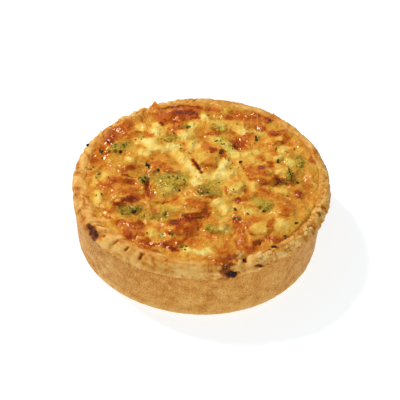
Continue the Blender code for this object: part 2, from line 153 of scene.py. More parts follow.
# What the oven did to the top. Level 0 is pale cheese, 0.5 golden, 0.7 red-brown, 1 burnt. Marks are
# x, y, level, length and width in mm, turn in degrees.
toastMarks = [
    # left back
    (-14, 45, 0.76, 20, 10, 0), (-8, 47.5, 0.9, 10, 4, 5), (-15, 47, 0.85, 7, 4, 0),
    (-4, 44.5, 0.88, 4, 2.5, 60), (-20, 42, 0.72, 7, 8, 0), (-13, 37, 0.70, 9, 7, 0),
    (-21, 38, 0.86, 2.2, 3.4, 20), (-10, 51, 0.66, 18, 3, -4), (-45, 24, 0.84, 5, 6, 40),
    (-43.5, 28, 0.80, 5, 8, 50), (-41, 32, 0.72, 6, 7, 50), (-37.5, 36, 0.70, 7, 6, 45),
    (-48, 19.5, 0.72, 4, 4, 0), (-46, 15, 0.74, 3, 5, -30), (-52, 10, 0.70, 4, 4, 0),
    (-36, 30, 0.58, 7, 8, 40), (-34, 41, 0.5, 5, 5, 0), (-36, 26.5, 0.70, 4, 2, 30),
    (-32, 32, 0.68, 3, 3, 0), (-17, 13, 0.5, 8, 4, 0), (-21, 8.5, 0.66, 9, 5, -20),
    (-15, 4.5, 0.68, 9, 3.4, -25), (-33, 6, 0.75, 6, 5, 20), (-37, 3.5, 0.70, 5, 4, 0),
    (-42, 3, 0.5, 5, 4, 0), (-50, 3, 0.5, 6, 6, 0), (-22, 3, 0.66, 5, 4, 0), (-30, 13, 0.5, 9, 4, 0),
    (-24, 33, 0.05, 7, 8, 20), (-24, 38, 0.18, 4, 4, 0), (-31, 36, 0.22, 5, 6, 0),
    (-27.5, 24.5, 0.08, 10, 5, 10), (-22, 21, 0.14, 9, 5, 0), (-15, 21, 0.08, 8, 5, 10),
    (-28, 17, 0.16, 8, 4, 0), (-34.5, 12, 0.1, 5, 3, 0), (-9, 31, 0.14, 6, 8, 0), (-6, 38, 0.12, 5, 6, 0),
    (-5, 23, 0.14, 6, 7, 0), (0, 45, 0.14, 5, 7, 0), (-9, 13, 0.24, 9, 6, -30), (-5, 8, 0.10, 6, 8, -20),
    (-1.5, 2.5, 0.08, 7, 5, -30), (-45, 2, 0.34, 5, 5, 0), (-13, 17, 0.3, 7, 4, -20),
    (-34, 18, 0.42, 5, 5, 0),
    # right back
    (3, 51, 0.66, 12, 3, -6), (12, 45, 0.74, 8, 4, -10), (16, 49, 0.62, 9, 4, -12),
    (20, 46, 0.66, 8, 4, -20), (25, 47.5, 0.70, 6, 4, -20), (31, 45, 0.74, 5, 4, -30),
    (26, 42.5, 0.60, 8, 5, -20), (34, 48, 0.62, 6, 4, -30), (24, 38.5, 0.60, 8, 4, -20),
    (8, 48, 0.58, 5, 3, 0), (7, 41, 0.30, 8, 5, -10), (13, 38, 0.42, 7, 4, -15), (18, 35.5, 0.14, 6, 5, 0),
    (14, 33.5, 0.66, 4, 2.4, -30), (8, 38, 0.14, 5, 4, 0), (4, 37.5, 0.56, 4, 4, 0),
    (2, 32.5, 0.72, 4, 3, 0), (5.5, 33.5, 0.64, 7, 4, -10), (18, 27, 0.70, 9, 11, 0),
    (15, 24.5, 0.80, 4, 5, 20), (21, 32, 0.68, 5, 4, 0), (24, 30, 0.55, 4, 6, 0), (7, 28.5, 0.12, 9, 4, -35),
    (11.5, 23, 0.22, 5, 9, 20), (1.5, 22.5, 0.60, 5, 7, 0), (4, 20, 0.78, 4, 4, 0),
    (8.8, 19.6, 0.90, 3.4, 3, 0), (10, 17, 0.72, 4, 4, 0), (3, 12, 0.52, 7, 11, 0), (3, 8, 0.60, 5, 5, 0),
    (9, 8, 0.06, 5, 8, -10), (11, 12, 0.12, 4, 5, 0), (7, 2.5, 0.1, 10, 4, 10), (15, 17, 0.2, 5, 5, 0),
    (20, 18, 0.20, 7, 4, 0), (25, 20, 0.26, 5, 4, 0), (17, 10, 0.34, 6, 7, 0), (12.5, 4, 0.18, 6, 4, 0),
    (27.5, 15.5, 0.60, 3, 6, 10), (24, 14, 0.34, 5, 4, 0), (22, 6, 0.68, 4.5, 8, 10),
    (28, 9.5, 0.84, 5, 3, 10), (31.5, 12, 0.74, 4, 4, 0), (28.5, 5.5, 0.66, 8, 5, 0),
    (34, 2.5, 0.76, 4, 5, 0), (24, 1.5, 0.62, 6, 5, 0), (37, 7.2, 0.24, 5.5, 4.5, 0),
    (36.3, 0.2, 0.88, 3, 5, 10), (38, 22, 0.14, 6, 6, 0), (36, 17, 0.22, 5, 5, 0),
    (39.5, 20.8, 0.66, 3, 1.4, 0), (40.5, 14, 0.18, 5, 7, 0), (33, 27, 0.62, 5, 5, 0),
    (33.5, 34, 0.74, 8, 5, 20), (37.5, 36, 0.70, 5, 5, 0), (39, 32, 0.68, 5, 6, 0),
    (37, 28.5, 0.70, 5, 3.6, 0), (41, 27, 0.60, 4, 4, 0), (36.5, 30.8, 0.34, 4, 3, 0),
    (28.5, 38, 0.74, 7, 3, -25), (28, 34.5, 0.18, 6, 3.6, -20), (30, 30, 0.46, 6, 4, 0),
    (28, 25.5, 0.52, 6, 5, 0), (33, 20.5, 0.58, 4, 5, 0), (47.5, 29, 0.52, 4, 8, 20),
    (52, 16.5, 0.66, 4, 6, 0), (46, 22, 0.45, 5, 8, 10), (50.5, 5, 0.48, 4, 12, 0),
    # left front
    (-50, -5, 0.36, 4, 6, 0), (-46, -2, 0.24, 6, 5, 0), (-45, -9, 0.66, 11, 5, -20),
    (-39.5, -3, 0.74, 6, 4, 0), (-34.5, -4.2, 0.78, 9, 4, -10), (-42, -5, 0.60, 5, 4, 0),
    (-39, -10, 0.60, 8, 5, 0), (-33, -10, 0.68, 7, 5, 0), (-30, -14, 0.76, 8, 4, 20),
    (-34, -16.5, 0.86, 9, 3.4, 10), (-37, -19, 0.82, 8, 4, 0), (-47.2, -16, 0.22, 4.4, 11, 5),
    (-43, -20, 0.45, 5, 5, 0), (-40.5, -23, 0.66, 6, 5, 0), (-35, -24, 0.60, 7, 7, 0),
    (-36.5, -27.5, 0.42, 5, 4, 0), (-34, -31.5, 0.72, 8, 4, -10), (-28.5, -33, 0.78, 9, 4.5, -15),
    (-20, -27, 0.58, 10, 6, -10), (-18, -33, 0.55, 6, 5, 0), (-22, -23.5, 0.62, 6, 4, 0),
    (-18.5, -20.5, 0.42, 6, 4, 0), (-27, -12, 0.46, 3.4, 12, -8), (-23, -11.5, 0.66, 4, 7, 0),
    (-15.5, -9.5, 0.18, 7, 6, 0), (-20, -10, 0.34, 5, 6, 0), (-3, -2.5, 0.1, 6, 5, -30),
    (-3, -11, 0.46, 9, 6, 0), (-4, -16.5, 0.64, 10, 5, -10), (-10, -21, 0.36, 5, 5, 0),
    (-13.5, -17.5, 0.50, 6, 5, 0), (1.2, -18.5, 0.66, 5, 7, 0), (-3, -24.6, 0.80, 8, 2.6, 8),
    (2.4, -24, 0.72, 5, 4, 0), (-6.5, -29, 0.84, 11, 4.6, 0), (-11.5, -30.8, 0.84, 7, 5, 0),
    (-8, -33.5, 0.78, 9, 4, 0), (-2.5, -31.5, 0.72, 5, 6, 0), (-11, -36.5, 0.68, 9, 5, 0),
    (-5, -37, 0.64, 7, 6, 0), (-3, -41.5, 0.60, 7, 4, 0), (-22, -36.5, 0.24, 6, 6, 0),
    (-27.5, -36.5, 0.58, 4, 4, 0), (-31, -38.5, 0.80, 6.4, 6.4, 0), (-26.5, -38.6, 0.72, 3, 4, 0),
    (-40.5, -33, 0.44, 6, 6, 0), (-39.5, -37.5, 0.34, 6, 5, 0), (-35, -34.5, 0.62, 4, 3, 0),
    (-44.5, -29, 0.40, 6, 5, 0), (-18, -43, 0.78, 17, 5, -14), (-24, -43.5, 0.74, 7, 3, -20),
    (-13, -46.2, 0.88, 8, 3, -12), (-19, -41, 0.40, 5, 4, 0), (-10, -42.5, 0.70, 7, 4, 0),
    (-4.5, -46.8, 0.16, 6, 3, 0), (1, -47, 0.12, 7, 4, 0), (0.5, -42.5, 0.50, 6, 4, 0),
    (-22, -47, 0.66, 9, 3, -20),
    # right front
    (0, -8.5, 0.64, 7, 6, 0), (4, -12.5, 0.70, 8, 4, -10), (14, -7.5, 0.16, 8, 7, 0),
    (18, -3.6, 0.22, 6, 4, 0), (10.8, -8, 0.70, 2.2, 5, 0), (20.6, -8, 0.60, 2.4, 6, 10),
    (24, -4, 0.22, 4, 6, 0), (28, -1, 0.70, 8, 5, 0), (29, -7, 0.68, 8, 5, 0), (26, -10, 0.55, 6, 4, 0),
    (36, -6, 0.24, 7, 4, 0), (40.5, -1, 0.72, 5, 6, 0), (34, -11, 0.52, 9, 6, 0), (48.5, -3, 0.60, 4, 8, 0),
    (44.5, -8.5, 0.84, 4, 6, 0), (41, -12, 0.55, 5, 5, 0), (12, -12.5, 0.38, 6, 4, 0),
    (16.6, -13.5, 0.82, 2.4, 4.4, -20), (19.5, -13, 0.70, 5, 4, 0), (7.6, -16, 0.16, 6, 5, 0),
    (10.5, -20.5, 0.14, 4.4, 7, 10), (15, -17.5, 0.40, 6, 5, 0), (22.5, -11, 0.58, 4, 4, 0),
    (22, -20.5, 0.14, 6, 4.4, -20), (18, -21.5, 0.46, 5, 4, 0), (26, -15, 0.40, 5, 5, 0),
    (38.5, -16, 0.58, 8, 4, 0), (38, -20, 0.64, 9, 9, 0), (44, -17, 0.50, 6, 8, 0),
    (33.5, -20.5, 0.44, 5, 6, 0), (16, -28, 0.72, 5, 7, 0), (10, -26, 0.34, 6, 5, 0),
    (6, -25, 0.50, 5, 5, 0), (24.5, -26, 0.62, 9, 3.6, 0), (25.5, -31, 0.36, 9, 8, 0),
    (31.4, -28.5, 0.66, 4.4, 7, 0), (31, -33.5, 0.58, 4, 5, 0), (28, -36, 0.48, 6, 3.4, 0),
    (30.5, -38, 0.74, 7, 3, 0), (36.5, -26.5, 0.24, 6, 5, 0), (36, -31, 0.34, 6, 5, 0),
    (43, -23, 0.46, 5, 6, 0), (18, -36, 0.64, 5.4, 19, 5), (20, -30, 0.62, 5, 7, 0),
    (6, -33.5, 0.40, 7, 5, 0), (10, -33.4, 0.14, 4.4, 4.4, 0), (5, -38, 0.60, 5, 4, 0),
    (12, -38.5, 0.54, 6, 6, 0), (8, -42, 0.42, 6, 5, 0), (3, -48, 0.08, 6, 3, 0), (12, -45, 0.60, 9, 4, 0),
    (25.5, -41, 0.84, 6, 3, 30), (22, -45.5, 0.72, 7, 4, 0), (10.3, -52.5, 0.76, 9, 12, 0),
    (36, -39, 0.66, 8, 5, 30), (7, -50.5, 0.55, 9, 3, 8),
]
# narrow folds, carved and painted dark as painted shade of their crevices: points, level, width, depth
creases = [
    ([(-29, 34), (-27, 31), (-25, 29)], 0.76, 1.3, 0.5),
    ([(-10, 27), (-8.5, 21), (-6.5, 18)], 0.72, 1.0, 0.5),
    ([(-4.8, 12.8), (-4.2, 10), (-2.2, 8.2), (-1, 5)], 1.0, 1.9, 1.6),
    ([(-25.5, -2.5), (-25.2, -8), (-24, -14)], 0.90, 1.8, 1.1),
    ([(-44, -27.5), (-41, -29), (-38, -29.5)], 0.74, 1.3, 0.6),
    ([(-24, -16.5), (-18, -17.5), (-11, -14)], 0.80, 1.3, 0.7),
    ([(-8, -25), (-4, -26.8), (1.5, -26.6)], 0.92, 1.3, 0.8),
    ([(33.5, 5), (35.5, 1), (34.5, -3)], 0.90, 1.2, 0.9),
    ([(20.5, -7), (21, -10), (19, -12.5)], 0.80, 1.1, 0.7),
    ([(10, -5), (10.8, -9), (13.5, -11.5)], 0.74, 1.1, 0.7),
    ([(-22.5, 49.4), (-16, 52), (-9, 52.8), (-2, 52)], 0.93, 1.3, 0.5),
    ([(15, -31), (16.5, -38), (17, -45)], 0.72, 1.4, 0.5),
    ([(-35, 24), (-32, 21.5), (-27, 21)], 0.60, 1.0, 0.4),
    ([(-13, 31.5), (-18, 29.5), (-22, 30)], 0.68, 1.0, 0.5),
    ([(18, 11.5), (20, 8), (19.5, 3)], 0.72, 1.2, 0.7), ([(33, 16), (36, 13), (40, 11)], 0.60, 1.0, 0.5),
    ([(20, -27), (20.6, -32), (23, -36.5)], 0.76, 1.3, 0.6),
    ([(-40, 0.5), (-35, 0), (-31, -1)], 0.84, 1.2, 0.6),
    ([(-30, 9.5), (-26, 6), (-22, 5.5)], 0.72, 1.0, 0.4),
    ([(5, -15), (2, -14), (-2, -13.5)], 0.66, 1.0, 0.5),
]
# where florets and bits of stalk tint the cheese: x, y, strength, length, width, turn
greenMarks = [
    (-15.5, -3, 0.85, 15, 12, 20), (-12, 1, 0.95, 12, 4, -15), (-21, 0, 0.8, 5, 8, 20),
    (-16, -9, 0.5, 10, 5, 0), (2, -8.5, 0.95, 10, 7, -15), (6, -3.5, 0.6, 8, 5, 10),
    (-40, 20.5, 0.95, 10, 6, 15), (-36, 22, 0.8, 5, 5, 0), (-17.5, 26.5, 0.6, 10, 5, 10),
    (-15, 29.5, 0.8, 8, 3, 0), (-30, 29.5, 0.6, 6, 3, 0), (-8, 37.5, 0.7, 6, 4, 0), (7, 38, 0.6, 9, 6, -30),
    (8, 28, 0.8, 10, 4.4, -40), (11.5, 23.5, 0.6, 5, 8, 20), (14, 19, 0.5, 5, 5, 0),
    (28, 34.5, 0.5, 6, 3, -20), (45, 14, 0.8, 7, 12, 5), (40.5, 4, 0.75, 5, 9, 5), (39, 15, 0.35, 6, 8, 0),
    (27, -15, 0.85, 10, 6, -30), (29, -18, 0.9, 7, 5, -40), (22, -20, 0.35, 6, 4, 0),
    (6, -33, 0.75, 9, 5, -10), (-27.4, -1.6, 0.8, 5, 7, 0), (-30.3, -22.5, 0.9, 7, 6, 30),
    (-35, -23, 0.8, 6, 6, 0), (-20, -27, 0.75, 12, 7, -10), (-24, -26, 0.6, 7, 6, 0),
    (-17.7, -12, 0.4, 7, 4, 0), (-15, -22.5, 0.5, 6, 5, 0), (18, -3.5, 0.4, 6, 4, 0),
    (-48.5, 2, 0.5, 3, 4, 0), (-33, -1, 0.4, 4, 3, 0), (10, -33, 0.3, 4, 4, 0), (40, -1, 0.6, 6, 4, 0),
    (-17, -38.5, 0.6, 3, 4, 30), (14.5, 7, 0.4, 5, 6, 0), (-5, 28, 0.35, 6, 8, 0), (20, 18, 0.25, 6, 5, 0),
    (38, -8.5, 0.35, 6, 3, 0), (14, -20, 0.35, 6, 5, 0), (8, -24, 0.4, 5, 5, 0), (-8, -44.5, 0.4, 5, 3, 0),
]
topFinish = {
    # colour levels; the darker dips and valleys and the olive tint in the valleys are painted shade between
    # the lumps
    "base": 0.42, "towardsRim": 0.04, "leftSide": 0.07, "middle": -0.03, "coarse": 0.13, "fine": 0.05,
    "onPeaks": 0.04, "inDips": 0.07, "valley": 0.05, "darkFold": 0.88, "olive": 0.30,
    # relief, in mm or as a share
    "dome": 0.25, "domeSpan": 8.0, "lump": 1.45, "curd": 0.55, "fold": 0.45, "grain": 0.28, "ripple": 0.17,
    "speck": 0.12, "dryGrain": 0.75, "wetGrain": 0.35, "bend": 1.3, "grow": 1.2, "cap": 36.4,
    "overCap": 0.45,
}


def domes(place, wobble):
    # every patch is a lump of its own: curds of pale cheese, browned crests
    t = topFinish
    high = np.zeros(len(place))
    for mark in toastMarks:
        share = 1.0 if mark[2] < 0.3 else 0.8 if mark[2] > 0.6 else 0.35
        near, away = nearMark(place, mark, 0.4 * wobble, t["grow"])
        lift = t["dome"] * share * min(mark[3], mark[4], t["domeSpan"])
        high[near] = np.maximum(high[near], lift * (1 - rise(0.1, 1.25, away)))
    return high


def fatOn(place):
    # from -1 where the cheese is dry to 1 where fat lies on it
    return softNoise(place, 4.0, 39)


def topRelief(place):
    # melted lumps, curds, folds and grain of the cheese, in mm: all, all but the domes, the domes alone
    t = topFinish
    bent = place + t["bend"] * sway(place, 4.0, 5)
    rough = 0.5 + 0.5 * softNoise(place, 9.0, 13)
    dome = domes(bent, layered(place, 2.6, 31, 3))
    curd, small = pebbles(bent, 4.4, 11), pebbles(bent, 1.9, 12)
    folded = bent @ np.array([[0.8, -0.6, 0], [0.33, 0.44, 0], [0, 0, 1]])
    fold = 1 - np.abs(layered(folded, 3.4, 14, 2))
    soft = t["lump"] * layered(bent, 7.5, 10, 2) + t["curd"] * (0.55 - curd) * (0.35 + 0.65 * rough)
    soft += t["fold"] * (rise(0.55, 1.0, fold) - 0.3)
    fine = t["grain"] * (0.5 - small) * rough + t["ripple"] * layered(place, 1.5, 16, 2)
    fine += t["speck"] * softNoise(place, 0.8, 18)
    fine *= rise(0.9, -0.2, fatOn(place)) * t["dryGrain"] + t["wetGrain"]
    groove = np.zeros(len(place))
    broken = 0.5 + 0.5 * softNoise(place, 2.4, 19)
    for points, _, width, depth in creases:
        away = alongStroke(bent, points) / width
        groove = np.maximum(groove, depth * broken * (1 - rise(0.1, 1.4, away)))
    return dome + soft + fine - groove, soft + fine, dome


def capped(height):
    # tall lumps are pressed down a little towards the solids' own height
    limit = topFinish["cap"]
    return np.where(height > limit, limit + topFinish["overCap"] * (height - limit), height)


def topLevels(points, greenBase=0.0):
    # toast with painted shade, green with a painted olive shade tint, and wet of points of the top, in mm
    t = topFinish
    place = flat(points)
    wobble = layered(place, 2.6, 31, 3)
    _, bumps, dome = topRelief(place)
    radius = np.hypot(points[:, 0], points[:, 1])
    level = t["base"] + t["towardsRim"] * rise(38.0, 52.0, radius)
    level += t["leftSide"] * rise(-8.0, -34.0, place[:, 0])
    level += t["middle"] * rise(32.0, 12.0, radius)
    level += t["coarse"] * layered(place, 6.0, 33, 2)
    shifted = place + sway(place, 3.0, 34) + 0.4 * sway(place, 1.1, 42)
    level = paint(level, shifted, toastMarks, wobble, t["grow"])
    level += t["fine"] * layered(place, 1.6, 36, 3)
    level += t["onPeaks"] * rise(0.1, 0.5, bumps) * rise(0.35, 0.6, level)
    # painted shade: darker in the dips and in the valleys between the domes
    valley = t["valley"] * rise(0.3, 0.0, dome) * rise(0.55, 0.4, level)
    level += t["inDips"] * rise(0.05, -0.3, bumps) + valley
    broken = rise(-0.5, 0.4, softNoise(place, 2.4, 19))
    # painted shade: each crease darkened as its crevice would be in shade
    for line, value, width, _ in creases:
        away = (alongStroke(shifted, line) + 0.3 * wobble) / width
        share = (1.0 if value > t["darkFold"] else broken) * (1 - rise(0.0, 1.1, away))
        level += (value - level) * share * (value > level)
    green = paint(np.full(len(points), greenBase), shifted, greenMarks, wobble, t["grow"])
    # painted shade: an olive tint in the valleys between the domes
    green += t["olive"] * rise(0.5, 0.0, dome) * rise(-0.2, 0.5, layered(place, 9.0, 44, 2)) * (1 - green)
    green = np.clip(1.15 * green * (0.9 + 0.5 * layered(place, 1.5, 38, 2)), 0, 1)
    wet = np.clip(0.52 + 0.5 * fatOn(place) + 0.9 * (level - 0.5), 0, 1)
    return np.clip(level, 0, 1), green, wet


# Help with meshes and pieces


def meshPoints(mesh):
    co = np.zeros(len(mesh.vertices) * 3)
    mesh.vertices.foreach_get("co", co)
    return co.reshape(-1, 3)


def setPoints(mesh, points):
    mesh.vertices.foreach_set("co", np.asarray(points, np.float32).ravel())
    mesh.update()


def meshNormals(mesh):
    n = np.zeros(len(mesh.vertices) * 3)
    mesh.vertices.foreach_get("normal", n)
    return n.reshape(-1, 3)


def setLevels(mesh, **levels):
    for name, values in levels.items():
        layer = mesh.attributes.get(name) or mesh.attributes.new(name, "FLOAT", "POINT")
        layer.data.foreach_set("value", np.asarray(values, np.float32))


def linked(name, data):
    thing = bpy.data.objects.new(name, data)
    bpy.context.scene.collection.objects.link(thing)
    return thing


def addPiece(name, mesh, material):
    mesh.name = name
    mesh.materials.clear()
    mesh.materials.append(material)
    mesh.shade_smooth()
    return linked(name, mesh)


def cleanMesh(mesh, distance=0.002 * mm):
    work = bmesh.new()
    work.from_mesh(mesh)
    bmesh.ops.remove_doubles(work, verts=work.verts, dist=distance)
    bmesh.ops.recalc_face_normals(work, faces=work.faces)
    work.to_mesh(mesh)
    work.free()
    return mesh


def nodeMesh(name):
    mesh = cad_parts[name].data.copy()
    return cleanMesh(mesh, 0.01 * mm)


def plainMesh(maker):
    # the mesh of a maker with its modifiers in; the maker itself goes
    bpy.context.view_layer.update()
    graph = bpy.context.evaluated_depsgraph_get()
    mesh = bpy.data.meshes.new_from_object(maker.evaluated_get(graph))
    maker.modifiers.clear()
    bpy.data.objects.remove(maker)
    return mesh


def rayTree(names):
    points, faces = [], []
    for name in names:
        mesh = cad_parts[name].data
        start = len(points)
        points += [v.co.copy() for v in mesh.vertices]
        faces += [[start + i for i in f.vertices] for f in mesh.polygons]
    return BVHTree.FromPolygons(points, faces)


# Materials


def srgb(r, g, b):
    def linear(c):
        c /= 255.0
        return c / 12.92 if c <= 0.04045 else ((c + 0.055) / 1.055) ** 2.4
    return (linear(r), linear(g), linear(b), 1.0)


cheeseRamp = [
    (0.00, (246, 228, 150)), (0.18, (240, 209, 110)), (0.36, (229, 178, 70)), (0.52, (213, 139, 37)),
    (0.68, (191, 97, 12)), (0.82, (163, 64, 3)), (0.92, (116, 38, 2)), (1.00, (50, 18, 5)),
]
greenRamp = [
    (0.00, (222, 206, 96)), (0.25, (198, 176, 62)), (0.45, (168, 146, 38)), (0.65, (126, 108, 22)),
    (0.85, (74, 70, 18)), (1.00, (34, 36, 12)),
]
pastryRamp = [
    (0.00, (247, 214, 144)), (0.25, (235, 187, 103)), (0.45, (217, 152, 61)), (0.62, (192, 116, 27)),
    (0.78, (146, 72, 12)), (0.90, (90, 36, 6)), (1.00, (40, 17, 7)),
]


class Wiring:
    # short words for making and joining shader or geometry nodes
    def __init__(self, tree):
        self.tree = tree

    def add(self, kind, settings=None, **inputs):
        # an input goes by its name, with _ for a space, or by its place, as i0, i1
        node = self.tree.nodes.new(kind)
        for key, value in (settings or {}).items():
            setattr(node, key, value)
        for key, value in inputs.items():
            self.put(node, key.replace("_", " "), value)
        return node

    def put(self, node, key, value):
        socket = node.inputs[int(key[1:])] if key[0] == "i" and key[1:].isdigit() else node.inputs[key]
        if isinstance(value, bpy.types.NodeSocket):
            self.tree.links.new(value, socket)
        else:
            socket.default_value = value

    def math(self, operation, a, b=0.0, c=0.0, clamp=False):
        settings = {"operation": operation, "use_clamp": clamp}
        return self.add("ShaderNodeMath", settings, i0=a, i1=b, i2=c).outputs[0]

    def plus(self, a, b, clamp=False):
        return self.math("ADD", a, b, clamp=clamp)

    def minus(self, a, b):
        return self.math("SUBTRACT", a, b)

    def times(self, a, b, *more):
        product = self.math("MULTIPLY", a, b)
        return self.times(product, *more) if more else product

    def span(self, value, fromLow, fromHigh, toLow, toHigh, smooth=False):
        settings = {"interpolation_type": "SMOOTHSTEP" if smooth else "LINEAR"}
        sockets = {"i0": value, "i1": fromLow, "i2": fromHigh, "i3": toLow, "i4": toHigh}
        return self.add("ShaderNodeMapRange", settings, **sockets).outputs[0]

    def swing(self, pattern, reach):
        # a noise turned into a shift from -reach to reach
        return self.span(pattern, 0.3, 0.7, -reach, reach)

    def noise(self, place, size, detail=2.0, rough=0.6, distort=0.0):
        settings = {"Vector": place, "Scale": 1.0 / (size * mm), "Detail": detail}
        return self.add("ShaderNodeTexNoise", Roughness=rough, Distortion=distort, **settings).outputs["Fac"]

    def level(self, name):
        return self.add("ShaderNodeAttribute", {"attribute_name": name}).outputs["Fac"]

    def ramp(self, stops, value):
        node = self.add("ShaderNodeValToRGB", Fac=value)
        while len(node.color_ramp.elements) < len(stops):
            node.color_ramp.elements.new(0.5)
        for element, (place, colour) in zip(node.color_ramp.elements, stops):
            element.position = place
            element.color = srgb(*colour)
        return node.outputs["Color"]

    def mix(self, share, a, b):
        return self.add("ShaderNodeMix", {"data_type": "RGBA"}, i0=share, i6=a, i7=b).outputs[2]


def newMaterial(name):
    material = bpy.data.materials.new(name)
    material.use_nodes = True
    material.node_tree.nodes.clear()
    return material, Wiring(material.node_tree)


def foodMaterial(name):
    # a material's start: its wiring and the place on the piece
    material, wire = newMaterial(name)
    return material, wire, wire.add("ShaderNodeTexCoord").outputs["Object"]


def foodShader(wire, colour, roughness, bump, shine):
    # a material's end: the shader with its shine and the output
    shader = wire.add("ShaderNodeBsdfPrincipled", Base_Color=colour, Roughness=roughness, **shine)
    wire.put(shader, "Normal", bump.outputs["Normal"])
    wire.add("ShaderNodeOutputMaterial", Surface=shader.outputs[0])


# roughness where fat lies and where it is dry, speckle, share of green
topLook = {
    "bakedFilling": {"rough": (0.15, 0.72), "speckle": 0.09, "greenShare": 0.9},
    "browningTurkey": {"rough": (0.15, 0.72), "speckle": 0.09, "greenShare": 0.7},
    "broccoliFloret": {"rough": (0.18, 0.74), "speckle": 0.10, "greenShare": 0.95},
}
# for all three: grain where fat lies and where it is dry, broad mottle, where the fat begins and is full
cheeseLook = {"bump": (0.28, 0.7), "mottle": 0.05, "film": (0.38, 0.62)}
cheeseShine = {
    "IOR": 1.4, "Specular_IOR_Level": 0.5, "Specular_Tint": (1.0, 0.84, 0.58, 1.0),
    "Subsurface_Weight": 0.06, "Subsurface_Radius": (1.0, 0.55, 0.2), "Subsurface_Scale": 1.0 * mm,
}


def topMaterial(name):
    # toasted cheese, from pale yellow to burnt, with the painted shade of dips and creases in its level,
    # tinted where broccoli shows through
    values = {**cheeseLook, **topLook[name]}
    material, wire, place = foodMaterial(name)
    fine, broad = wire.noise(place, 0.75, 3.0), wire.noise(place, 2.4, 3.0, distort=0.4)
    toast = wire.plus(wire.level("toast"), wire.swing(fine, values["speckle"]))
    toast = wire.plus(toast, wire.swing(broad, values["mottle"]), clamp=True)
    cheese = wire.ramp(cheeseRamp, toast)
    greens = wire.ramp(greenRamp, wire.plus(wire.times(toast, 0.75), wire.span(fine, 0.3, 0.7, -0.05, 0.3)))
    share = wire.math("MULTIPLY", wire.level("green"), values["greenShare"], clamp=True)
    # fat lies smooth and shines, dry cheese is dull and grainy
    film = wire.plus(wire.level("wet"), wire.swing(broad, 0.3))
    film = wire.plus(film, wire.swing(fine, 0.2))
    shining, dull = values["rough"]
    smooth, grainy = values["bump"]
    roughness = wire.span(film, *values["film"], dull, shining, True)
    bump = wire.add("ShaderNodeBump", Distance=0.25 * mm)
    wire.put(bump, "Strength", wire.span(film, *values["film"], grainy, smooth, True))
    wire.put(bump, "Height", wire.plus(fine, wire.times(wire.noise(place, 0.35), 0.5)))
    foodShader(wire, wire.mix(share, cheese, greens), roughness, bump, cheeseShine)
    return material


pastryLook = {
    "rough": 0.56, "bump": 0.7, "mottle": 0.09, "speckle": 0.17, "flour": 0.13,
    "cheeseRough": 0.4, "cheeseSpeckle": 0.08,
}
pastryShine = {
    "IOR": 1.4, "Specular_IOR_Level": 0.3,
    "Subsurface_Weight": 0.08, "Subsurface_Radius": (1.0, 0.6, 0.3), "Subsurface_Scale": 1.0 * mm,
}


def pastryMaterial():
    # short pastry: sandy, mottled by the oven, with painted light and shade in its bake level, glazed with
    # cheese where the filling ran onto it
    look = pastryLook
    material, wire, place = foodMaterial("shortcrustPastry")
    sand, flour = wire.noise(place, 0.55, 3.0, 0.65), wire.noise(place, 0.32)
    blotch = wire.noise(place, 3.5, 4.0, distort=0.3)
    grains = wire.plus(wire.swing(sand, look["speckle"]), wire.swing(flour, look["flour"]))
    bake = wire.math("MULTIPLY_ADD", grains, wire.level("sandy"), wire.level("bake"))
    bake = wire.plus(bake, wire.swing(blotch, look["mottle"]), clamp=True)
    toast = wire.plus(wire.level("toast"), wire.swing(sand, look["cheeseSpeckle"]), clamp=True)
    melt = wire.level("melt")
    colour = wire.mix(melt, wire.ramp(pastryRamp, bake), wire.ramp(cheeseRamp, toast))
    bump = wire.add("ShaderNodeBump", Strength=look["bump"], Distance=0.3 * mm)
    wire.put(bump, "Height", wire.plus(sand, wire.times(wire.noise(place, 0.3), 0.5)))
    roughness = wire.span(melt, 0.0, 1.0, look["rough"], look["cheeseRough"])
    foodShader(wire, colour, roughness, bump, pastryShine)
    return material


fillingMaterial = topMaterial("bakedFilling")
turkeyMaterial = topMaterial("browningTurkey")
floretMaterial = topMaterial("broccoliFloret")
pastry = pastryMaterial()
print("materials ready")

# The pastry case: sizes in mm, turns in degrees
caseShape = {
    "columns": 840, "flutes": 72, "notchDepth": (0.0, 0.55), "notchDrift": 1.5, "deepAt": 146.0,
    "fadeTo": 0.33, "rimRadius": 60.0, "rimHeight": 34.5, "rimInnerRadius": 52.2, "rollHeight": 3.9,
    "rollEnds": (126.0, -42.0), "wallRadius": 58.0, "wallFootRadius": 57.3, "footRounding": 2.4,
    "floorThickness": 5.0, "innerFloorRadius": 51.0, "lean": -1.5, "leanHeights": (26.0, 32.0),
    "outOfRound": -0.4, "outOfRoundTurn": 14.0, "rimWave": 0.5,
}
# broken places of the rim: turn, distance from the middle, width, depth
cracks = [
    (-142.1, 60.5, 3.0, 0.9), (-136.2, 60.1, 1.3, 0.4), (-130.3, 59.7, 1.3, 0.4), (-123.4, 60.3, 1.3, 0.6),
    (-116.6, 60.3, 1.6, 0.9), (-76.5, 60.5, 3.6, 2.0), (-69.7, 56.7, 2.6, 2.0), (-64.7, 60.5, 3.0, 1.8),
]
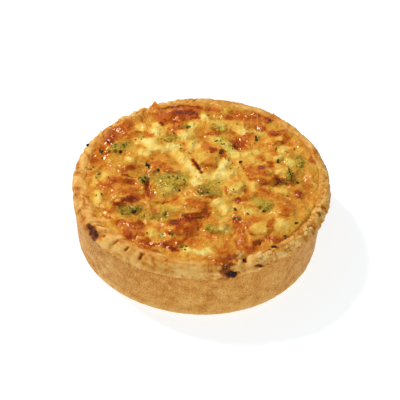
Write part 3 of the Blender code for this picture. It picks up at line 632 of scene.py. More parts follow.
# bake of the rim: x, y, level, length, width, turn
bakeMarks = [
    (-36, 45, 0.30, 12, 5, 42), (-44, 37, 0.30, 8, 4, 48), (-20, 54, 0.30, 10, 3, 14),
    (-8, 55, 0.28, 10, 3, 5), (-54, 24, 0.32, 4, 8, -20), (-56, 8, 0.32, 5, 10, 0),
    (17, 54, 0.30, 12, 3, -14), (6, 55, 0.30, 10, 3, -4), (27, 52, 0.32, 8, 3, -26),
    (-41, -43, 0.32, 8, 4, -42), (-49, -33, 0.30, 6, 5, -60), (-3, -59, 0.30, 12, 6, 0),
    (26.5, -50, 0.08, 4, 6, 0), (47.5, -32, 0.20, 4, 5, 0), (-49.1, -35.2, 0.93, 5, 5, -40),
    (-47.6, -38.4, 0.93, 3.6, 6, 12), (-46.7, -41.4, 0.93, 2.0, 4.4, 12), (11.0, -54.8, 0.70, 9, 12, 10),
    (13.4, -60.6, 0.92, 9.4, 7, 5), (9.4, -64.0, 0.86, 7, 3.4, 20), (12.0, -55.4, 0.88, 5, 6, 0),
    (15, -61, 0.97, 4, 4, 0), (14.9, -57.6, 0.30, 3, 3.4, 0), (19.4, -51.8, 0.92, 2.6, 5, 15),
    (16.2, -57.8, 0.12, 3, 2.4, 0), (25.8, -55.3, 0.92, 4.4, 2.2, 0), (19.4, -51.5, 0.94, 2.4, 5, 15),
    (26, -41, 0.92, 2.6, 4, 0), (45, -34, 0.62, 6, 12, 35), (36, -44, 0.52, 10, 5, 38),
    (53, -21, 0.76, 1.6, 4, 0), (56, 5, 0.44, 5, 12, 0), (-57, -14, 0.50, 2, 3, 0),
    (-53, -19, 0.66, 1.2, 5, -15), (-32, -50, 0.40, 14, 4, -30), (-56.5, 21.8, 0.95, 2.4, 3.2, 20),
    (-53.5, 4.7, 0.86, 3.4, 1.8, 0), (-51, -26, 0.40, 5, 8, 20), (32.3, -42.8, 0.98, 4, 1.8, -20),
    (15, -48.5, 0.3, 5, 3, 0),
]
# narrow cracks of the rim: points, level, width
rimCracks = [
    ([(-36.4, -42.9), (-38.3, -45.6)], 0.74, 0.8), ([(-31.4, -46.6), (-32.6, -49.0)], 0.92, 1.2),
    ([(-25.4, -50.4), (-26.3, -54.6)], 0.92, 1.2), ([(-24.2, -50.6), (-25.8, -52.6)], 0.88, 0.9),
    ([(-42.4, -40.2), (-43.4, -41.6)], 0.80, 0.9), ([(-21, -51), (-19.5, -57.5)], 0.60, 1.1),
    ([(-45.8, -33.6), (-40, -35), (-36, -38)], 0.74, 1.0), ([(-53.5, -17), (-52.5, -21.5)], 0.66, 0.8),
    ([(-43, -40), (-44, -41.4)], 0.80, 1.3), ([(-20, -54), (-16, -55.4)], 0.55, 1.4),
    ([(-51, 28), (-54, 29)], 0.76, 1.1), ([(-48, 32), (-51, 33.6)], 0.76, 1.1),
    ([(-45, 36), (-48, 38.6)], 0.74, 1.1), ([(-42, 39), (-44, 42)], 0.72, 1.0),
    ([(-33, 47), (-35, 50)], 0.70, 1.0), ([(-28, 51), (-29, 54)], 0.66, 1.0),
]
# cheese that ran onto the rim: x, y, share, length, width, turn
meltMarks = [
    (-5, -51.5, 1.0, 18, 4, 0), (-12, 52, 1.0, 22, 5, 3), (4, 51.5, 1.0, 14, 4, -4),
    (12, -51.5, 1.0, 10, 6, 10), (-22, -47.5, 0.9, 12, 4, -25), (22, 48.5, 0.8, 12, 4, -22),
    (34, 42.5, 0.8, 9, 4, -38), (52, 10, 0.7, 4, 16, 5), (44, -28, 0.7, 4, 8, 35), (24, -46, 0.7, 8, 4, 25),
    (51, -10, 0.6, 3, 10, 0), (0, -55, 0.6, 18, 6, 0), (-14, -54, 0.4, 12, 5, -12),
]
# heights in mm, sides as the middle and half of a sweep in degrees
rimForm = {
    "crumple": 0.42, "pinch": 0.62, "pinchEvery": 3.0, "slant": 0.9, "pinchSide": (165.0, 70.0),
    "pinchElsewhere": 0.35, "crag": 0.70, "chip": 0.34, "cragSide": (-50.0, 32.0), "cragElsewhere": 0.10,
    "paleSide": (-106.0, 34.0), "flakes": 0.28, "lump": 0.22, "pit": 0.22, "crack": 0.55, "sunkIn": 0.35,
    "arcRadius": 56.0, "meltEdge": (56.4, 53.0), "lip": 1.25, "undercut": 0.35, "lipDrop": 4.2,
    "lipSide": (-118.0, 38.0), "grain": 0.10, "dents": 0.16,
}
# how much browner, or paler when below 0, each form of the pastry is; the darker top of the wall is painted
# shade under the rim, the paler foot is painted light from the floor, the paler side of the rim is painted
# light, and the darker crags and chips are painted shade in their crevices
caseBakeLightAndShade = {
    "base": 0.46, "patches": 0.06, "streaks": 0.15, "wallTop": 0.05, "foot": -0.12, "rim": -0.05,
    "hollow": 0.10, "ridge": -0.12, "pinch": 0.20, "rimPatches": 0.10, "crag": 0.28, "chip": 0.14,
    "crumbly": -0.05, "lipShadow": 0.10, "lip": -0.08, "paleSide": -0.05,
}


def sector(degrees, middle, half, soft=14.0):
    away = np.abs((degrees - middle + 180.0) % 360.0 - 180.0)
    return rise(half + soft, half, away)


def runOf(start, end, count):
    # evenly spaced points from start towards end, without the end
    shares = [i / count for i in range(count)]
    return [(start[0] + (end[0] - start[0]) * t, start[1] + (end[1] - start[1]) * t) for t in shares]


def caseProfile(s):
    # the section from the inside floor over the rim and down the wall to the middle of the foot
    middle, half = (s["rimRadius"] + s["rimInnerRadius"]) / 2, (s["rimRadius"] - s["rimInnerRadius"]) / 2
    crown = s["rimHeight"] - s["rollHeight"]
    turns = np.radians(np.linspace(*s["rollEnds"], 36))
    roll = [(middle + half * math.cos(a), crown + s["rollHeight"] * math.sin(a)) for a in turns]
    lipFoot = (s["wallRadius"], s["rimHeight"] - 1.75 * s["rollHeight"])
    wallMiddle = (s["wallRadius"], 0.42 * s["rimHeight"])
    foot = s["footRounding"]
    centre = s["wallFootRadius"] - foot
    quarter = np.radians(np.linspace(0, 90, 6))
    heel = [(centre + foot * math.cos(a), foot * (1 - math.sin(a))) for a in quarter]
    floor = s["floorThickness"]
    inner = (s["innerFloorRadius"], floor)
    rows = [(0.0, floor)] + runOf((17, floor), inner, 2) + runOf(inner, roll[0], 5) + roll[:-1]
    rows += runOf(roll[-1], lipFoot, 4) + runOf(lipFoot, wallMiddle, 21)
    rows += runOf(wallMiddle, (s["wallFootRadius"], foot), 19)
    return rows + heel[:-1] + runOf(heel[-1], (0.6, 0.0), 14) + [(0.0, 0.0)]


def shapeTree(name, given, sizes, made):
    # an empty geometry tree with named size inputs: the tree, its wiring and what it is given
    tree = bpy.data.node_groups.new(name, "GeometryNodeTree")
    for title, kind in [(given, "Geometry")] + sizes + [("Material", "Material")]:
        tree.interface.new_socket(title, in_out="INPUT", socket_type="NodeSocket" + kind)
    tree.interface.new_socket(made, in_out="OUTPUT", socket_type="NodeSocketGeometry")
    wire = Wiring(tree)
    return tree, wire, wire.add("NodeGroupInput").outputs


def caseTree():
    # turns a section into the case and presses the flutes round its rim
    counts = ("Columns", "Rows", "Flutes")
    sizes = (
        "Shallow notch", "Deep notch", "Drift", "Deepest at", "Fade to", "Rim height", "Roll height", "Lean",
        "Lean from", "Lean to", "Out of round", "Out of round turn",
    )
    sockets = [(name, "Int") for name in counts] + [(name, "Float") for name in sizes]
    tree, wire, given = shapeTree("flutedCase", "Section", sockets, "Case")
    sheet = wire.add("GeometryNodeMeshGrid", Size_X=1.0, Size_Y=1.0, Vertices_Y=given["Rows"])
    wire.put(sheet, "Vertices X", wire.plus(given["Columns"], 1.0))
    position = wire.add("GeometryNodeInputPosition").outputs[0]
    where = wire.add("ShaderNodeSeparateXYZ", Vector=position).outputs
    angle = wire.times(wire.plus(where[0], 0.5), 2 * math.pi)
    row = wire.math("ROUND", wire.times(wire.plus(where[1], 0.5), wire.minus(given["Rows"], 1.0)))
    pick = wire.add("GeometryNodeSampleIndex", {"data_type": "FLOAT_VECTOR", "domain": "POINT"},
                    Geometry=given["Section"], Value=position, Index=row)
    section = wire.add("ShaderNodeSeparateXYZ", Vector=pick.outputs[0]).outputs
    radius, height = section[0], section[2]
    # a notch between every two flutes, each with a depth of its own
    ring = wire.add("ShaderNodeCombineXYZ", X=wire.math("COSINE", angle), Y=wire.math("SINE", angle))
    drift = wire.add("ShaderNodeTexNoise", Vector=ring.outputs[0], Scale=4.5, Detail=1.0).outputs["Fac"]
    drift = wire.times(wire.minus(drift, 0.5), given["Drift"])
    count = wire.plus(wire.math("DIVIDE", wire.times(angle, given["Flutes"]), 2 * math.pi), drift)
    whole = wire.math("ROUND", count)
    part = wire.math("DIVIDE", wire.minus(count, whole), 0.2)
    notch = wire.math("EXPONENT", wire.times(part, part, -1.0))
    dice = wire.add("FunctionNodeRandomValue", {"data_type": "FLOAT"}, Seed=4,
                    i2=given["Shallow notch"], i3=given["Deep notch"])
    wire.put(dice, "ID", wire.math("FLOORED_MODULO", whole, given["Flutes"]))
    away = wire.math("COSINE", wire.minus(angle, wire.math("RADIANS", given["Deepest at"])))
    near = wire.math("POWER", wire.plus(wire.times(away, 0.5), 0.5), 2.0)
    fade = wire.plus(given["Fade to"], wire.times(near, wire.minus(1.0, given["Fade to"])))
    outside = wire.span(radius, 54 * mm, 59 * mm, 0.0, 1.0, True)
    rimLow = wire.minus(given["Rim height"], wire.times(given["Roll height"], 2.0))
    rimHigh = wire.minus(given["Rim height"], given["Roll height"])
    onRim = wire.span(height, rimLow, rimHigh, 0.0, 1.0, True)
    depth = wire.times(wire.times(dice.outputs[1], fade), wire.times(outside, onRim))
    pressed = wire.times(depth, wire.minus(wire.times(notch, 1.25), 0.25))
    # a little out of round, and leaning under the rim
    corner = wire.minus(angle, wire.math("RADIANS", given["Out of round turn"]))
    swell = wire.times(wire.math("COSINE", wire.times(corner, 3.0)), given["Out of round"])
    swell = wire.times(swell, wire.span(radius, 0.0, 60 * mm, 0.0, 1.0, True))
    reach = wire.minus(wire.plus(radius, swell), pressed)
    upright = wire.span(height, given["Lean from"], given["Lean to"], 0.0, 1.0, True)
    lean = wire.times(given["Lean"], wire.minus(1.0, upright), wire.span(radius, 0.0, 2 * mm, 0.0, 1.0))
    x = wire.plus(wire.times(reach, wire.math("COSINE", angle)), lean)
    y = wire.times(reach, wire.math("SINE", angle))
    z = wire.minus(height, wire.times(wire.math("MAXIMUM", pressed, 0.0), 0.6))
    place = wire.add("ShaderNodeCombineXYZ", X=x, Y=y, Z=z)
    bent = wire.add("GeometryNodeSetPosition", Geometry=sheet.outputs[0], Position=place.outputs[0])
    closed = wire.add("GeometryNodeMergeByDistance", Geometry=bent.outputs[0], Distance=0.004 * mm)
    real = wire.add("GeometryNodeRealizeInstances", Geometry=closed.outputs[0])
    dressed = wire.add("GeometryNodeSetMaterial", Geometry=real.outputs[0], Material=given["Material"])
    wire.add("NodeGroupOutput", Case=dressed.outputs[0])
    return tree


def setInputs(modifier, values):
    # a modifier's inputs go by their identifiers
    for item in modifier.node_group.interface.items_tree:
        if item.item_type == "SOCKET" and item.in_out == "INPUT" and item.name in values:
            modifier[item.identifier] = values[item.name]


def makeCase():
    s = caseShape
    rows = caseProfile(s)
    section = bpy.data.meshes.new("section")
    section.from_pydata([(r * mm, 0.0, h * mm) for r, h in rows], [], [])
    maker = linked("caseSection", section)
    nodes = maker.modifiers.new("Flutes", "NODES")
    nodes.node_group = caseTree()
    setInputs(nodes, {
        "Columns": s["columns"], "Rows": len(rows), "Flutes": s["flutes"], "Drift": s["notchDrift"],
        "Shallow notch": s["notchDepth"][0] * mm, "Deep notch": s["notchDepth"][1] * mm,
        "Deepest at": s["deepAt"], "Fade to": s["fadeTo"], "Rim height": s["rimHeight"] * mm,
        "Roll height": s["rollHeight"] * mm, "Lean": s["lean"] * mm, "Lean from": s["leanHeights"][0] * mm,
        "Lean to": s["leanHeights"][1] * mm, "Out of round": s["outOfRound"] * mm,
        "Out of round turn": s["outOfRoundTurn"], "Material": pastry,
    })
    mesh = cleanMesh(plainMesh(maker), 0.004 * mm)
    workCase(mesh, s)
    return addPiece("pastryShell", mesh, pastry)


def workCase(mesh, s):
    # hand marks, cracks, flaky layers and grain on the turned case
    r = rimForm
    p, n = meshPoints(mesh) / mm, meshNormals(mesh)
    radius, turn = np.hypot(p[:, 0], p[:, 1]), np.arctan2(p[:, 1], p[:, 0])
    degrees, arc = np.degrees(turn), turn * r["arcRadius"]
    rollMiddle = s["rimHeight"] - s["rollHeight"]
    onRim = rise(s["rimHeight"] - 2 * s["rollHeight"], rollMiddle, p[:, 2]) * rise(50, 52, radius)
    shown = rise(51.5, 53.0, radius) * rise(0.0, 1.5, p[:, 2])
    wave = np.array([noise.noise(Vector((2.2 * math.cos(a), 2.2 * math.sin(a), 4.0))) for a in turn])
    p[:, 2] += s["rimWave"] * wave * onRim
    clear = rise(54.0, 55.8, radius)
    for at, distance, width, sunk in cracks:
        c, sn = math.cos(math.radians(at)), math.sin(math.radians(at))
        away = np.hypot(p[:, 0] - distance * c, p[:, 1] - distance * sn)
        share = np.exp(-((away / width) ** 2)) * onRim * clear
        p[:, 2] -= sunk * share
        p[:, 0] -= r["sunkIn"] * sunk * share * c
        p[:, 1] -= r["sunkIn"] * sunk * share * sn
    place = flat(p)
    around = np.stack([arc, radius, p[:, 2]], 1)
    section = np.stack([arc, radius + p[:, 2], 0 * arc], 1)
    flaky = 1 - np.abs(layered(around * np.array([0.16, 1.0, 1.0]), 1.7, 51, 2))
    crumple = layered(around * np.array([0.5, 1.0, 1.0]), 2.6, 60, 3)
    relief = r["grain"] * layered(p, 1.1, 52, 3) + r["dents"] * layered(p, 4.0, 53, 2)
    relief += (r["flakes"] * (rise(0.55, 1.0, flaky) - 0.4) + r["crumple"] * crumple) * onRim
    relief += r["lump"] * (0.6 - pebbles(section, 2.9, 54)) * onRim
    # pinches between the folds, slanting out over the left
    pinchSide = sector(degrees, *r["pinchSide"])
    slanted = np.stack([arc + r["slant"] * radius, 0.12 * radius, 0 * arc], 1)
    pinch = 1 - rise(0.0, 0.3, np.abs(softNoise(slanted, r["pinchEvery"], 61)))
    pinch = pinch * (r["pinchElsewhere"] + (1 - r["pinchElsewhere"]) * pinchSide) * onRim
    relief -= r["pinch"] * pinch
    # crumbly crags over the right front
    crag = np.abs(layered(section + 0.8 * softNoise(section, 1.5, 67)[:, None], 3.0, 62, 3)) * 1.6
    chip = np.abs(layered(section, 1.3, 63, 2)) * 1.4
    crumbly = r["cragElsewhere"] + (1 - r["cragElsewhere"]) * sector(degrees, *r["cragSide"])
    crumbly = onRim * rise(53.6, 56.0, radius) * crumbly
    relief += (r["crag"] * (0.5 - crag) + r["chip"] * (0.5 - chip)) * crumbly
    # a ragged lip that hangs over the wall at the front left
    lipSide = sector(degrees, *r["lipSide"])
    lipHeight = rollMiddle - r["lipDrop"] + 0.7 * softNoise(around, 5.0, 64)
    lipHeight = lipHeight + 0.5 * layered(around, 1.4, 65, 2)
    outer = rise(57.0, 58.0, radius)
    overhang = rise(-0.4, 0.4, p[:, 2] - lipHeight) * rise(30.4, 28.2, p[:, 2])
    shadow = rise(3.4, 0.6, lipHeight - p[:, 2]) * rise(-0.4, 0.4, lipHeight - p[:, 2])
    relief += outer * lipSide * (r["lip"] * overhang - r["undercut"] * shadow)
    pit = 1 - rise(0.1, 0.35, pebbles(np.stack([arc, p[:, 2] + radius, 0 * arc], 1), 1.5, 55))
    relief -= r["pit"] * pit * rise(0.0, 0.6, softNoise(around, 4.0, 56)) * (1 - onRim)
    topSide = rise(0.1, 0.5, n[:, 2]) * onRim
    for line, _, width in rimCracks:
        relief -= r["crack"] * (1 - rise(0.0, 1.2, alongStroke(place, line) / width)) * topSide
    p += n * (relief * shown)[:, None]
    p[:, 2] = np.maximum(p[:, 2], 0.0)
    setPoints(mesh, p * mm)

    # how brown the pastry is, with painted light and shade: mottled wall, pale raised folds, brown pinches
    # and crags, the crags' crevices darkened as painted shade
    wobble = layered(place, 2.2, 57, 3)
    leaning = np.stack([0.45 * arc + 0.26 * p[:, 2], radius, p[:, 2] - 0.5 * arc], 1)
    b = caseBakeLightAndShade
    bake = b["base"] + b["patches"] * layered(p, 9.0, 58, 2)
    bake += b["streaks"] * layered(leaning * np.array([1, 1, 0.45]), 1.5, 59, 3)
    # painted shade: the wall darker towards its top under the rim; painted light: paler near the floor
    bake += b["wallTop"] * rise(10.0, 30.0, p[:, 2]) * (1 - onRim) + b["foot"] * rise(6.0, 0.5, p[:, 2])
    folds = b["hollow"] * rise(0.1, -0.35, crumple) + b["ridge"] * rise(-0.1, 0.4, crumple) + b["rim"]
    bake += onRim * (b["pinch"] * pinch * pinchSide + b["rimPatches"] * layered(around, 5.0, 69, 2) + folds)
    # painted shade: darker in the crevices of the crags and chips
    bake += crumbly * (b["crag"] * rise(0.4, 0.8, crag) + b["chip"] * rise(0.4, 0.7, chip) + b["crumbly"])
    bake += outer * lipSide * (b["lipShadow"] * shadow + b["lip"] * overhang)
    # painted light: the front side of the rim paler where the light falls on it
    bake += b["paleSide"] * sector(degrees, *r["paleSide"]) * onRim
    onTop = paint(bake.copy(), place, bakeMarks, wobble)
    for line, value, width in rimCracks:
        share = 1 - rise(0.0, 1.1, (alongStroke(place, line) + 0.25 * wobble) / (0.8 * width))
        onTop += (value - onTop) * share * topSide
    bake += (onTop - bake) * np.maximum(onRim * rise(-0.5, 0.0, n[:, 2]), outer * lipSide * overhang)
    toast, _, _ = topLevels(p)
    ragged = 1.8 * wobble + 2.0 * layered(place, 5.0, 66, 2)
    melt = rise(*r["meltEdge"], radius + ragged + 1.2 * pinchSide) * topSide
    melt = np.maximum(melt, paint(np.zeros(len(p)), place, meltMarks, wobble) * topSide)
    setLevels(mesh, bake=np.clip(bake, 0, 1), sandy=1.15 - 0.75 * onRim, toast=toast, melt=melt)


shell = makeCase()
print("pastry case", len(shell.data.polygons))

# The baked filling, in mm
fillingShape = {
    "cells": 300, "reach": 58.0, "mapStep": 0.5, "mapReach": 57.0, "openReach": 51.8, "pocketHeight": 33.4,
    "skirt": 1.12, "brim": 0.6, "rimFrom": 49.0, "edge": 54.4, "edgeWander": 1.6, "film": 0.07,
    "overflow": 3.2, "overflowSide": (-90.0, 9.0), "fillet": 2.6, "neck": (51.9, 0.0, 31.0), "foot": 5.3,
    "footReach": 50.6,
}
toppingNames = [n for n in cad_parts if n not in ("pastry_case", "filling")]


def nextTo(grid):
    # the grid moved by one cell to each of four sides
    return [np.roll(grid, step, axis) for axis in (0, 1) for step in (1, -1)]


def heightMaps(s):
    # heights of the CAD filling with those of the toppings on it over an even grid, pockets filled in
    steps = int(2 * s["mapReach"] / s["mapStep"]) + 1
    axis = np.linspace(-s["mapReach"], s["mapReach"], steps)
    base, tops = np.full((steps, steps), np.nan), np.full((steps, steps), np.nan)
    for tree, grid in ((rayTree(["filling"]), base), (rayTree(toppingNames), tops)):
        for j, y in enumerate(axis):
            for i, x in enumerate(axis):
                if math.hypot(x, y) <= s["openReach"]:
                    hit = tree.ray_cast(Vector((x * mm, y * mm, above)), down)[0]
                    grid[j, i] = hit.z / mm if hit else np.nan
    covered = ~np.isnan(tops)
    for _ in range(2):
        covered = np.any([covered] + nextTo(covered), axis=0)
    pockets = covered | np.isnan(base)
    ground = np.where(pockets, s["pocketHeight"], base)
    for _ in range(500):
        ground = np.where(pockets, sum(nextTo(ground)) / 4, ground)
    ground = blurred(ground, 2)
    proud = np.where(np.isnan(tops), 0.0, np.maximum(tops - ground, 0.0))
    return axis, ground + s["skirt"] * blurred(proud, 3)


def blurred(grid, steps):
    kernel = np.exp(-0.5 * (np.arange(-3 * steps, 3 * steps + 1) / steps) ** 2)
    kernel /= kernel.sum()
    padded = np.pad(grid, 3 * steps, mode="edge")
    across = np.apply_along_axis(lambda row: np.convolve(row, kernel, "valid"), 1, padded)
    return np.apply_along_axis(lambda row: np.convolve(row, kernel, "valid"), 0, across)


def mapHeight(axis, grid, x, y):
    step = axis[1] - axis[0]
    fx = np.clip((x - axis[0]) / step, 0, len(axis) - 1.001)
    fy = np.clip((y - axis[0]) / step, 0, len(axis) - 1.001)
    i, j = fx.astype(int), fy.astype(int)
    u, v = fx - i, fy - j
    near, far = grid[j, i] * (1 - u) + grid[j, i + 1] * u, grid[j + 1, i] * (1 - u) + grid[j + 1, i + 1] * u
    return near * (1 - v) + far * v


def roundGrid(cells, reach):
    # an even square grid pulled into a disc
    work = bmesh.new()
    bmesh.ops.create_grid(work, x_segments=cells, y_segments=cells, size=1.0)
    mesh = bpy.data.meshes.new("filling")
    work.to_mesh(mesh)
    work.free()
    sheet = meshPoints(mesh)
    u, v = sheet[:, 0], sheet[:, 1]
    wide = np.abs(u) > np.abs(v)
    longer = np.where(wide, u, v)
    safe = np.where(longer == 0, 1.0, longer)
    angle = np.where(wide, math.pi / 4 * v / safe, math.pi / 2 - math.pi / 4 * u / safe)
    return mesh, longer * np.cos(angle) * reach, longer * np.sin(angle) * reach


def closePlug(mesh, s):
    # down to the foot as a closed plug: reach, lean and height of each ring
    work = bmesh.new()
    work.from_mesh(mesh)
    for reach, lean, height in (s["neck"], (s["footReach"], caseShape["lean"], s["foot"])):
        edges = [e for e in work.edges if e.is_boundary]
        grown = bmesh.ops.extrude_edge_only(work, edges=edges)["geom"]
        for vertex in [g for g in grown if isinstance(g, bmesh.types.BMVert)]:
            a = math.atan2(vertex.co.y, vertex.co.x)
            vertex.co = (reach * mm * math.cos(a) + lean * mm, reach * mm * math.sin(a), height * mm)
    bmesh.ops.holes_fill(work, edges=[e for e in work.edges if e.is_boundary], sides=0)
    bmesh.ops.recalc_face_normals(work, faces=work.faces)
    work.to_mesh(mesh)
    work.free()


def makeFilling():
    s = fillingShape
    axis, ground = heightMaps(s)
    mesh, x, y = roundGrid(s["cells"], s["reach"])
    radius = np.hypot(x, y)
    p = np.stack([x, y, mapHeight(axis, ground, x, y)], 1)
    relief = topRelief(flat(p))[0]
    p[:, 2] += relief + s["brim"] * rise(44.0, 53.0, radius) - 3.0 * rise(53.6, 56.2, radius)
    # the cheese runs up onto the rim and thins out there
    edge = s["edge"] + s["edgeWander"] * layered(p * [1, 1, 0], 6.0, 68, 3)
    edge += s["overflow"] * sector(np.degrees(np.arctan2(y, x)), *s["overflowSide"])
    film = s["film"] - (s["film"] + 0.5) * rise(edge - 3.4, edge + 1.0, radius)
    fade = rise(edge + 0.4, edge - 3.2, radius)
    bpy.context.view_layer.update()
    rimTree = BVHTree.FromObject(shell, bpy.context.evaluated_depsgraph_get())
    for i in np.nonzero(radius > s["rimFrom"])[0]:
        hit = rimTree.ray_cast(Vector((x[i] * mm, y[i] * mm, above)), down)[0]
        over = (hit.z / mm if hit else 0.0) + film[i] - p[i, 2]
        blend = max(0.0, s["fillet"] - abs(over)) / s["fillet"]
        p[i, 2] += max(over, 0.0) + 0.25 * blend * blend * s["fillet"] * fade[i]
    p[:, 2] = capped(p[:, 2])
    setPoints(mesh, p * mm)
    closePlug(mesh, s)
    toast, green, wet = topLevels(meshPoints(mesh) / mm)
    setLevels(mesh, toast=toast, green=green, wet=wet)
    return addPiece("bakedFilling", mesh, fillingMaterial)


filling = makeFilling()
print("filling", len(filling.data.polygons))

# Florets and turkey, in mm
toppingShape = {
    "broccoli": {
        "title": "broccoliFloret", "levels": 3, "grow": 0.1, "cheese": 0.75, "cluster": 2.6,
        "clusterRise": 0.4, "bud": 1.0, "budRise": 0.2, "green": 0.15, "tips": 0.10,
    },
    "turkey": {
        "title": "turkeyChunk", "levels": 3, "grow": 0.1, "cheese": 0.85, "torn": 4.0, "tornRise": 0.45,
        "fibre": 1.3, "fibreRise": 0.22, "green": 0.0,
    },
}


def makeTopping(name):
    kind, number = name.split("_")
    s = toppingShape[kind]
    maker = linked(name + "_maker", nodeMesh(name))
    smoothing = maker.modifiers.new("Round", "SUBSURF")
    smoothing.levels = smoothing.render_levels = s["levels"]
    mesh = plainMesh(maker)
    p, n = meshPoints(mesh) / mm, meshNormals(mesh)
    low, high = p[:, 2].min(), p[:, 2].max()
    upper = rise(low + 0.2 * (high - low), low + 0.6 * (high - low), p[:, 2])
    relief = topRelief(flat(p))[0]
    if kind == "broccoli":
        cluster, bud = pebbles(p, s["cluster"], 61), pebbles(p, s["bud"], 62)
        own = s["clusterRise"] * (0.6 - cluster) + s["budRise"] * (0.55 - bud)
    else:
        fibre = p @ np.array([[0.35, 0.94, 0], [-0.94, 0.35, 0], [0, 0, 1]]) * np.array([1.0, 0.35, 1.0])
        own = s["tornRise"] * layered(p, s["torn"], 63, 2)
        own += s["fibreRise"] * layered(fibre, s["fibre"], 64, 2)
    relief = s["cheese"] * relief + own
    p += n * ((s["grow"] + relief) * upper)[:, None]
    p[:, 2] = capped(p[:, 2])
    setPoints(mesh, p * mm)
    toast, green, wet = topLevels(p, s["green"])
    if kind == "broccoli":
        tips = rise(0.1, 0.45, 0.6 - bud) * rise(0.45, 0.9, green)
        toast = np.clip(toast + s["tips"] * tips, 0, 1)
    setLevels(mesh, toast=toast, green=green, wet=wet)
    material = floretMaterial if kind == "broccoli" else turkeyMaterial
    return addPiece(s["title"] + number, mesh, material), name, kind


toppings = [makeTopping(name) for name in sorted(toppingNames)]
print("toppings", len(toppings))

